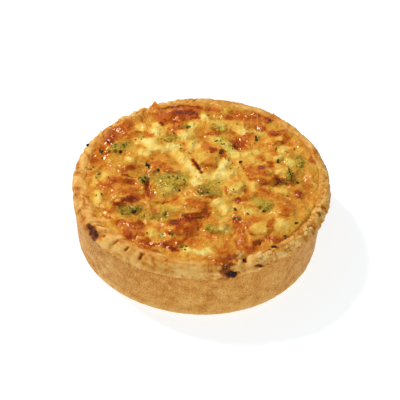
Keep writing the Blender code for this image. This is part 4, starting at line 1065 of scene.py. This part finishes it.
# Flecks, buds, crumbs and the shred.
# Bits of herb and floret seen on top: x, y, length, width, turn, shade. Shade 0 is green-black, 0.5 olive,
# 0.8 brown, 1 pale.
herbMarks = [
    (-55.4, 20.5, 2.4, 2.4, 0, 0.1), (-48.8, 20.9, 0.9, 1.2, 0, 0.4), (-48.3, 16.2, 2.0, 2.9, 30, 0.15),
    (-47.7, 11.7, 0.8, 1.0, 0, 0.4), (-41.3, 21.3, 1.4, 1.7, 0, 0.5), (-38.4, 16.4, 2.4, 2.1, 0, 0.15),
    (-37.8, 21.1, 2.1, 2.1, 20, 0.3), (-41.5, 16.4, 0.8, 1.2, 0, 0.4), (-44.5, 16.7, 0.8, 0.9, 0, 0.4),
    (-32.7, 25.7, 0.6, 0.9, 0, 0.3), (-29.7, 26.2, 0.6, 0.9, 0, 0.3), (-7.8, 36.8, 2.6, 1.0, 0, 0.4),
    (-14.5, 32.0, 0.7, 1.0, 0, 0.3), (-11.1, 23.1, 0.7, 0.9, 0, 0.4), (-10.9, 20.7, 0.8, 1.0, 0, 0.5),
    (-6.6, 17.4, 1.2, 0.8, 0, 0.3), (-26.0, 7.6, 2.2, 3.1, 20, 0.05), (-24.1, 12.2, 0.9, 1.4, 0, 0.4),
    (-20.9, 4.5, 1.8, 1.7, 20, 0.2), (-26.9, -2.5, 1.5, 3.8, 20, 0.25), (-28.7, -1.0, 1.2, 1.7, 0, 0.4),
    (-52.7, 3.8, 2.5, 1.7, 0, 0.85), (-51.1, 5.0, 0.7, 0.9, 0, 0.3), (-48.2, 0.8, 1.3, 2.4, 0, 0.5),
    (-49.2, -2.0, 0.8, 1.0, 0, 0.4), (-15.6, -0.1, 1.1, 1.0, 0, 0.35), (-13.6, 0.5, 0.8, 0.9, 0, 0.35),
    (-11.7, -0.8, 0.8, 1.0, 0, 0.4), (-8.7, -1.5, 0.8, 1.2, 0, 0.35), (-8.0, -3.5, 0.7, 1.0, 0, 0.35),
    (-10.5, -8.8, 1.3, 1.0, -20, 0.1), (-17.6, -12.0, 0.6, 0.8, 0, 0.2), (-47.9, -14.4, 0.6, 1.0, 0, 0.4),
    (-45.7, -13.4, 0.7, 0.9, 0, 0.2), (1.5, 46.3, 1.6, 1.1, 0, 0.4), (16.0, 40.3, 1.0, 0.7, 0, 0.5),
    (31.7, 44.5, 1.4, 1.3, -20, 0.7), (35.8, 35.9, 0.9, 1.1, 0, 0.5), (25.4, 30.0, 1.4, 3.2, -20, 0.2),
    (23.2, 33.8, 1.5, 0.8, -30, 0.4), (34.4, 22.7, 0.9, 2.0, 0, 0.6), (35.1, 13.8, 1.0, 2.2, 10, 0.1),
    (17.6, 12.4, 1.6, 1.2, 20, 0.1), (5.9, 27.3, 1.3, 1.3, 0, 0.3), (9.7, 25.1, 0.9, 0.7, 0, 0.4),
    (8.4, 19.0, 2.5, 1.7, -10, 0.75), (12.1, 13.4, 1.3, 0.7, 0, 0.4), (13.7, 11.5, 0.5, 1.1, 0, 0.4),
    (13.0, 7.5, 0.5, 0.8, 0, 0.3), (43.5, 23.4, 0.9, 1.5, 40, 0.6), (40.1, 8.5, 0.8, 1.3, 0, 0.1),
    (40.4, 6.7, 0.8, 1.3, 0, 0.1), (40.6, 5.1, 0.8, 1.1, 0, 0.1), (41.4, 3.8, 0.8, 1.1, 0, 0.2),
    (41.8, 5.6, 0.8, 0.9, 0, 0.1), (40.0, 10.3, 0.8, 0.9, 0, 0.3), (41.1, 2.4, 0.8, 1.1, 0, 0.3),
    (44.3, -0.3, 1.9, 1.7, 0, 0.3), (38.7, -1.4, 0.8, 1.1, 0, 0.3), (28.6, -2.2, 0.8, 1.1, 0, 0.4),
    (31.3, 4.2, 0.6, 0.7, 0, 0.5), (7.7, -2.4, 0.6, 0.8, 0, 0.4), (2.5, -9.4, 0.8, 1.0, 0, 0.0),
    (45.2, -7.3, 0.8, 1.1, 0, 0.0), (39.3, -9.8, 1.0, 1.2, 0, 0.3), (39.2, -14.1, 0.8, 1.1, 0, 0.2),
    (28.4, -21.2, 1.4, 2.0, -30, 0.3), (26.5, -18.9, 1.4, 0.8, -30, 0.3), (15.3, -20.0, 1.9, 1.5, 50, 0.75),
    (21.0, -22.8, 1.3, 0.8, -40, 0.6), (16.0, -26.1, 3.2, 1.0, 0, 0.4), (-30.0, -23.5, 2.1, 2.8, 0, 0.2),
    (-35.7, -26.1, 0.9, 2.6, 0, 0.5), (-15.8, -24.7, 1.5, 2.4, 30, 0.4), (-23.6, -37.2, 0.8, 1.2, 0, 0.4),
    (-17.2, -38.9, 1.1, 3.6, 25, 1.0), (-12.9, -37.6, 1.9, 1.2, 40, 0.6), (-7.8, -45.9, 1.5, 1.6, 0, 0.3),
    (-6.0, -45.0, 0.9, 0.9, 0, 0.4), (-6.5, -46.9, 0.8, 0.8, 0, 0.4), (42.5, -27.6, 1.8, 1.2, 10, 0.0),
    (32.2, -43.3, 3.2, 1.3, -20, 0.0), (26.0, -40.7, 1.4, 2.6, 0, 0.6), (53.5, -21.8, 0.8, 2.0, 0, 0.6),
    (29.5, -30.7, 0.9, 1.3, 0, 0.5), (37.4, -36.2, 1.7, 2.4, 0, 0.8),
]
# where dark buds gather on the florets: x, y, length, width, turn, count
budPatches = [
    (45.7, 14.9, 4.4, 8.4, 0, 18), (-27.5, -3, 4, 6, 20, 9), (-41, 19, 9, 5.5, 15, 13),
    (-30.5, -23, 5, 5, 0, 9), (-15.8, -24.7, 3.5, 4, 0, 7), (28, -19, 6, 4, -35, 9), (8, 27, 7, 3.4, -40, 9),
    (12.5, 22, 4, 6, 20, 8), (2, -6.5, 10, 4.5, -10, 10), (-7, -45.7, 4.4, 3, 0, 7), (7, 37, 8, 5, -30, 7),
    (-16.5, 27, 7, 4, 0, 6), (-30, 28, 5, 3, 0, 4), (6, -33, 8, 4, -10, 7), (-12.5, 0.3, 9, 2.4, -15, 12),
    (-15, -5, 11, 8, 20, 9), (-23, -27, 8, 5, -10, 7), (41, 5, 3, 7, 5, 9), (-4, 27, 5, 7, 0, 4),
    (17, 10, 6, 6, 0, 4),
]
scatterLook = {
    "herbThickness": 0.4, "bitArea": 1.1, "bitRag": (1.1, 0.55), "budSize": (0.3, 0.62), "budShare": 0.6,
    "budRag": (0.3, 0.5), "strayCount": 26, "straySize": (0.3, 0.5), "seed": 12,
}
crumbLook = {
    "seed": 5, "rag": (1.5, 0.8), "burntTurns": (-141.0, -79.0), "burntHalf": 7.0,
    "lipCount": 90, "lipSweep": (-152.0, -72.0), "lipSize": (0.35, 0.95), "lipHeight": (26.0, 28.6),
    "rimCount": 60, "rimSweep": (-82.0, 20.0), "rimSize": (0.4, 1.2), "rimReach": (54.0, 59.6),
    "elsewhere": 40, "elsewhereSize": (0.3, 0.7), "flakeBake": (0.16, 0.42),
}
# large pale flakes at the front of the rim: x, y, length, width, thickness, turn
flakeMarks = [
    (16.0, -58.2, 2.2, 1.6, 1.3, 20), (14.6, -57.2, 1.6, 1.3, 1.1, -30), (26.0, -48.6, 2.8, 2.2, 1.8, 60),
    (25.2, -51.0, 2.4, 2.0, 1.6, 10), (26.8, -52.4, 2.2, 1.6, 1.5, -20), (24.0, -53.2, 1.8, 1.4, 1.2, 40),
    (16.8, -47.4, 3.0, 2.0, 1.4, 70), (17.4, -50.0, 2.6, 1.8, 1.3, 60), (18.2, -52.6, 2.2, 1.7, 1.2, 80),
    (30.5, -47.5, 2.2, 1.7, 1.3, 30), (33.0, -49.6, 2.0, 1.4, 1.1, 50), (46.6, -31.2, 2.4, 1.7, 1.3, 50),
    (48.3, -32.8, 2.0, 1.5, 1.2, 10), (46.8, -34.0, 2.2, 1.5, 1.1, 80), (49.2, -30.6, 1.6, 1.2, 1.0, 20),
    (44.0, -36.4, 1.8, 1.4, 1.1, 40), (40.5, -40.5, 2.0, 1.5, 1.1, 30), (38.0, -43.0, 1.8, 1.3, 1.0, 60),
]


def scatterTree():
    # one small ragged grain on every point, with the point's own turn and size
    sizes = [("Detail", "Int"), ("Raggedness", "Float"), ("Rag size", "Float")]
    tree, wire, given = shapeTree("grainsOnPoints", "Points", sizes, "Grains")
    ball = wire.add("GeometryNodeMeshIcoSphere", Radius=0.5, Subdivisions=given["Detail"])
    vectors = {"data_type": "FLOAT_VECTOR"}
    spin, extent = (
        wire.add("GeometryNodeInputNamedAttribute", vectors, Name=name).outputs["Attribute"]
        for name in ("spin", "extent")
    )
    turned = wire.add("FunctionNodeEulerToRotation", Euler=spin)
    placed = wire.add("GeometryNodeInstanceOnPoints", Points=given["Points"], Instance=ball.outputs[0],
                      Rotation=turned.outputs[0], Scale=extent)
    real = wire.add("GeometryNodeRealizeInstances", Geometry=placed.outputs[0])
    where = wire.add("GeometryNodeInputPosition").outputs[0]
    rag = wire.add("ShaderNodeTexNoise", Vector=where, Detail=1.0)
    wire.put(rag, "Scale", wire.math("DIVIDE", 1.0, given["Rag size"]))
    subtract, scale = {"operation": "SUBTRACT"}, {"operation": "SCALE"}
    centred = wire.add("ShaderNodeVectorMath", subtract, i0=rag.outputs["Color"], i1=(0.5, 0.5, 0.5))
    push = wire.add("ShaderNodeVectorMath", scale, i0=centred.outputs[0], Scale=given["Raggedness"])
    torn = wire.add("GeometryNodeSetPosition", Geometry=real.outputs[0], Offset=push.outputs[0])
    dressed = wire.add("GeometryNodeSetMaterial", Geometry=torn.outputs[0], Material=given["Material"])
    wire.add("NodeGroupOutput", Grains=dressed.outputs[0])
    return tree


grainTree = scatterTree()
bpy.context.view_layer.update()
depth = bpy.context.evaluated_depsgraph_get()
surfaces = [BVHTree.FromObject(piece, depth) for piece in [shell, filling] + [t[0] for t in toppings]]


def firstHit(start, direction):
    best = None
    for tree in surfaces:
        place, normal, _, distance = tree.ray_cast(Vector(start) * mm, Vector(direction).normalized())
        if place and (best is None or distance < best[2]):
            best = (place / mm, normal, distance)
    return best


def seenAt(x, y):
    # what shows at a mark: a look along the camera's line onto the pieces
    x, y = x - topPlane["shift"][0], y - topPlane["shift"][1]
    back, slope = topPlane["lookFrom"], topPlane["slope"]
    return firstHit((x, y - back * slope, topPlane["height"] + back), (0, slope, -1))


def scatter(name, grains, detail, ragged, material, levelName):
    # grains: place, normal, turn, length, width, thickness in mm and a level for the colour
    spins = []
    for _, normal, turn, *_ in grains:
        side = (Vector((1, 0, 0)) - normal * normal.x).normalized()
        frameOf = Matrix((side, normal.cross(side), normal)).transposed()
        spins.append((frameOf @ Matrix.Rotation(math.radians(turn), 3, "Z")).to_euler())
    points = bpy.data.meshes.new(name + "Points")
    points.from_pydata([(g[0] + g[1] * 0.2 * g[5]) * mm for g in grains], [], [])
    for key, values in (("spin", spins), ("extent", [[v * mm for v in g[3:6]] for g in grains])):
        layer = points.attributes.new(key, "FLOAT_VECTOR", "POINT")
        layer.data.foreach_set("vector", np.array([list(v) for v in values], np.float32).ravel())
    maker = linked(name + "Maker", points)
    nodes = maker.modifiers.new("Grains", "NODES")
    nodes.node_group = grainTree
    setInputs(nodes, {
        "Detail": detail, "Raggedness": ragged[0] * mm, "Rag size": ragged[1] * mm, "Material": material,
    })
    mesh = plainMesh(maker)
    each = len(mesh.vertices) // len(grains)
    setLevels(mesh, **{levelName: np.repeat([g[6] for g in grains], each)})
    return addPiece(name, mesh, material)


herbRamp = [
    (0.00, (26, 24, 10)), (0.25, (56, 60, 16)), (0.50, (112, 108, 32)), (0.70, (92, 44, 14)),
    (0.86, (130, 72, 30)), (1.00, (196, 186, 96)),
]


def herbMaterial():
    material, wire, place = foodMaterial("driedHerb")
    grain = wire.noise(place, 0.4)
    colour = wire.ramp(herbRamp, wire.plus(wire.level("shade"), wire.swing(grain, 0.12), clamp=True))
    bump = wire.add("ShaderNodeBump", Strength=0.4, Distance=0.2 * mm, Height=grain)
    foodShader(wire, colour, 0.7, bump, {"Specular_IOR_Level": 0.15})
    return material


def looseGrain(hit, rng, size, longer, flatter, levels):
    # a grain turned at random, with its length and thickness against its width
    return hit[0], hit[1], rng.uniform(0, 180), size * longer, size, size * flatter, rng.uniform(*levels)


def makeHerbs(material):
    s, rng = scatterLook, random.Random(scatterLook["seed"])
    grains = []
    for x, y, length, width, turn, shade in herbMarks:
        # a larger bit is a huddle of small ones
        bits = max(1, round(length * width / s["bitArea"]))
        share, away = (1.0, 0.0) if bits == 1 else (1.25 / math.sqrt(bits), 0.36)
        for _ in range(bits):
            hit = seenAt(x + rng.uniform(-away, away) * length, y + rng.uniform(-away, away) * width)
            if hit:
                long, wide = length * share * rng.uniform(0.8, 1.2), width * share * rng.uniform(0.8, 1.2)
                own = min(max(shade + rng.uniform(-0.1, 0.12), 0.0), 1.0)
                spin = turn + rng.uniform(-40, 40)
                grains.append((hit[0], hit[1], spin, long, wide, s["herbThickness"], own))
    for _ in range(s["strayCount"]):
        reach, around = 50 * math.sqrt(rng.random()), rng.uniform(0, 2 * math.pi)
        size = rng.uniform(*s["straySize"])
        hit = seenAt(reach * math.cos(around), reach * math.sin(around))
        if hit:
            grains.append(looseGrain(hit, rng, size, 1.5, 0.7, (0.1, 0.6)))
    return scatter("herbFlecks", grains, 2, s["bitRag"], material, "shade")


def makeBuds(material):
    s, rng = scatterLook, random.Random(scatterLook["seed"] + 1)
    grains = []
    for x, y, length, width, turn, count in budPatches:
        c, sn = math.cos(math.radians(turn)), math.sin(math.radians(turn))
        for _ in range(round(s["budShare"] * count)):
            away, around = math.sqrt(rng.random()) * 0.5, rng.uniform(0, 2 * math.pi)
            u, v = away * length * math.cos(around), away * width * math.sin(around)
            size = rng.uniform(*s["budSize"])
            hit = seenAt(x + u * c - v * sn, y + u * sn + v * c)
            if hit:
                grains.append(looseGrain(hit, rng, size, 1.2, 0.7, (0.3, 0.6)))
    return scatter("broccoliBuds", grains, 2, s["budRag"], material, "shade")


def makeCrumbs():
    s, rng = crumbLook, random.Random(crumbLook["seed"])
    grains = []
    for _ in range(s["lipCount"]):
        degrees = rng.uniform(*s["lipSweep"])
        around = math.radians(degrees)
        height = rng.uniform(*s["lipHeight"])
        size = rng.uniform(*s["lipSize"])
        out = Vector((math.cos(around), math.sin(around), 0))
        hit = firstHit(out * 75 + Vector((0, 0, height)), -out)
        if hit and min(abs(degrees - burnt) for burnt in s["burntTurns"]) > s["burntHalf"]:
            grains.append(looseGrain(hit, rng, size, 1.5, 0.6, (0.15, 0.45)))
    sweeps = [(s["rimSweep"], s["rimSize"])] * s["rimCount"]
    sweeps += [((-180, 180), s["elsewhereSize"])] * s["elsewhere"]
    for sweep, sizes in sweeps:
        around, reach = math.radians(rng.uniform(*sweep)), rng.uniform(*s["rimReach"])
        size = sizes[0] + (sizes[1] - sizes[0]) * rng.random() ** 2
        hit = firstHit((reach * math.cos(around), reach * math.sin(around), 60), down)
        if hit:
            grains.append(looseGrain(hit, rng, size, 1.6, 0.5, (0.3, 0.6)))
    for x, y, length, width, thickness, turn in flakeMarks:
        hit = seenAt(x, y)
        if hit:
            own = rng.uniform(*s["flakeBake"])
            grains.append((hit[0], hit[1], turn, length * 1.3, width * 1.1, thickness * 0.5, own))
    return scatter("pastryCrumbs", grains, 3, s["rag"], pastry, "bake")


shredShape = {
    "foot": (-24.4, 46.2, 34.2), "tip": (-25.2, 52.6, 35.7), "sag": (-0.3, 0.0, 0.7), "rings": 22,
    "sides": 24, "width": 5.6, "thickness": 1.5, "curl": 0.16, "toast": 0.62, "wet": 0.4,
}


def makeShred():
    # a curled shred of toasted cheese that stands up at the back left
    s, sides = shredShape, shredShape["sides"]
    foot, tip, sag = (Vector(s[key]) for key in ("foot", "tip", "sag"))
    rows, faces = [], []
    for i in range(s["rings"]):
        t = i / (s["rings"] - 1)
        middle = foot.lerp(tip, t) + sag * math.sin(math.pi * t)
        wide = s["width"] * (1 - t) ** 0.8 + 0.1
        thick = s["thickness"] * (1 - 0.7 * t) + 0.05
        bend = 0.5 * math.sin(2.6 * t)
        across = Vector((math.cos(bend), math.sin(bend), 0.15))
        over = Vector((-math.sin(bend), math.cos(bend), -0.35))
        for j in range(sides):
            a = 2 * math.pi * j / sides
            rows.append(middle + across * (0.5 * wide * math.cos(a)) + over * (0.5 * thick * math.sin(a)))
    for i in range(s["rings"] - 1):
        for j in range(sides):
            a, k = i * sides, (j + 1) % sides
            faces.append((a + j, a + k, a + sides + k, a + sides + j))
    faces += [tuple(reversed(range(sides))), tuple(range((s["rings"] - 1) * sides, s["rings"] * sides))]
    mesh = bpy.data.meshes.new("toastedShred")
    mesh.from_pydata([v * mm for v in rows], [], faces)
    cleanMesh(mesh)
    p, n = meshPoints(mesh) / mm, meshNormals(mesh)
    p += n * (s["curl"] * layered(p, 1.2, 71, 2))[:, None]
    setPoints(mesh, p * mm)
    toast = s["toast"] + 0.16 * layered(p, 1.6, 72, 2) - 0.1 * rise(35.5, 37.0, p[:, 2])
    setLevels(mesh, toast=toast, green=0 * toast, wet=0 * toast + s["wet"])
    return addPiece("toastedShred", mesh, fillingMaterial)


herb = herbMaterial()
herbs, buds, crumbs, shred = makeHerbs(herb), makeBuds(herb), makeCrumbs(), makeShred()
print("scattered", len(herbs.data.polygons), len(buds.data.polygons), len(crumbs.data.polygons))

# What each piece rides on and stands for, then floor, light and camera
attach(shell, "root")
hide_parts("pastry_case")
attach(filling, "root")
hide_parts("filling")
for piece, node, kind in toppings:
    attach(piece, "root")
    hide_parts(node)
for piece, kind in ((herbs, "broccoli"), (buds, "broccoli"), (crumbs, "pastry")):
    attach(piece, "root")
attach(shred, "root")
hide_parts("pastry_case")


studio = {
    # name: place in m, size in m, watts
    "lights": {
        "keyLight": ((-0.44, 0.28, 0.74), 0.13, 6.0),
        "frontLight": ((0.10, -0.85, 0.55), 0.70, 2.0),
    },
    "aimHeight": 0.02, "room": 0.36, "floorSide": 3.0, "floorColour": (0.42, 0.48, 0.52, 1),
    "floorGlow": 0.73,
}


def makeFloor():
    s, side = studio, studio["floorSide"]
    mesh = bpy.data.meshes.new("floor")
    corners = [(-side, -side, 0), (side, -side, 0), (side, side, 0), (-side, side, 0)]
    mesh.from_pydata(corners, [], [(0, 1, 2, 3)])
    material, wire = newMaterial("paleFloor")
    paper = wire.add("ShaderNodeBsdfDiffuse", Color=s["floorColour"])
    glow = wire.add("ShaderNodeEmission", Strength=s["floorGlow"])
    both = wire.add("ShaderNodeAddShader", i0=paper.outputs[0], i1=glow.outputs[0])
    wire.add("ShaderNodeOutputMaterial", Surface=both.outputs[0])
    floor = addPiece("studioFloor", mesh, material)


def makeLights():
    for name, (place, size, watts) in studio["lights"].items():
        light = bpy.data.lights.new(name, "AREA")
        light.size, light.energy = size, watts
        lamp = linked(name, light)
        lamp.location = place
        aim = Vector((0, 0, studio["aimHeight"])) - Vector(place)
        lamp.rotation_euler = aim.to_track_quat("-Z", "Y").to_euler()
    world = bpy.data.worlds.new("studioRoom")
    world.use_nodes = True
    background = world.node_tree.nodes["Background"]
    background.inputs["Color"].default_value = (1.0, 1.0, 1.0, 1)
    background.inputs["Strength"].default_value = studio["room"]
    bpy.context.scene.world = world


# angles in degrees, lens, sensor, target and distance in mm
cameraView = {
    "elevation": 42.876, "roll": 2.164, "lens": 113.87, "sensor": 36.0,
    "target": (-0.945, -0.646, 19.574), "distance": 598.2,
}


def makeCamera():
    v = cameraView
    up, roll = math.radians(v["elevation"]), math.radians(v["roll"])
    back = Vector((0.0, -math.cos(up), math.sin(up)))
    right = Vector((1.0, 0.0, 0.0))
    over = back.cross(right)
    c, s = math.cos(roll), math.sin(roll)
    turned = Matrix((c * right + s * over, c * over - s * right, back)).transposed()
    data = bpy.data.cameras.new("camera")
    data.lens, data.sensor_width = v["lens"], v["sensor"]
    data.clip_start, data.clip_end = 0.01, 10.0
    camera = linked("camera", data)
    place = (Vector(v["target"]) + back * v["distance"]) * mm
    camera.matrix_world = Matrix.Translation(place) @ turned.to_4x4()
    bpy.context.scene.camera = camera


makeFloor()
makeLights()
makeCamera()
bpy.context.scene.view_settings.view_transform = "Standard"
print("stage ready")
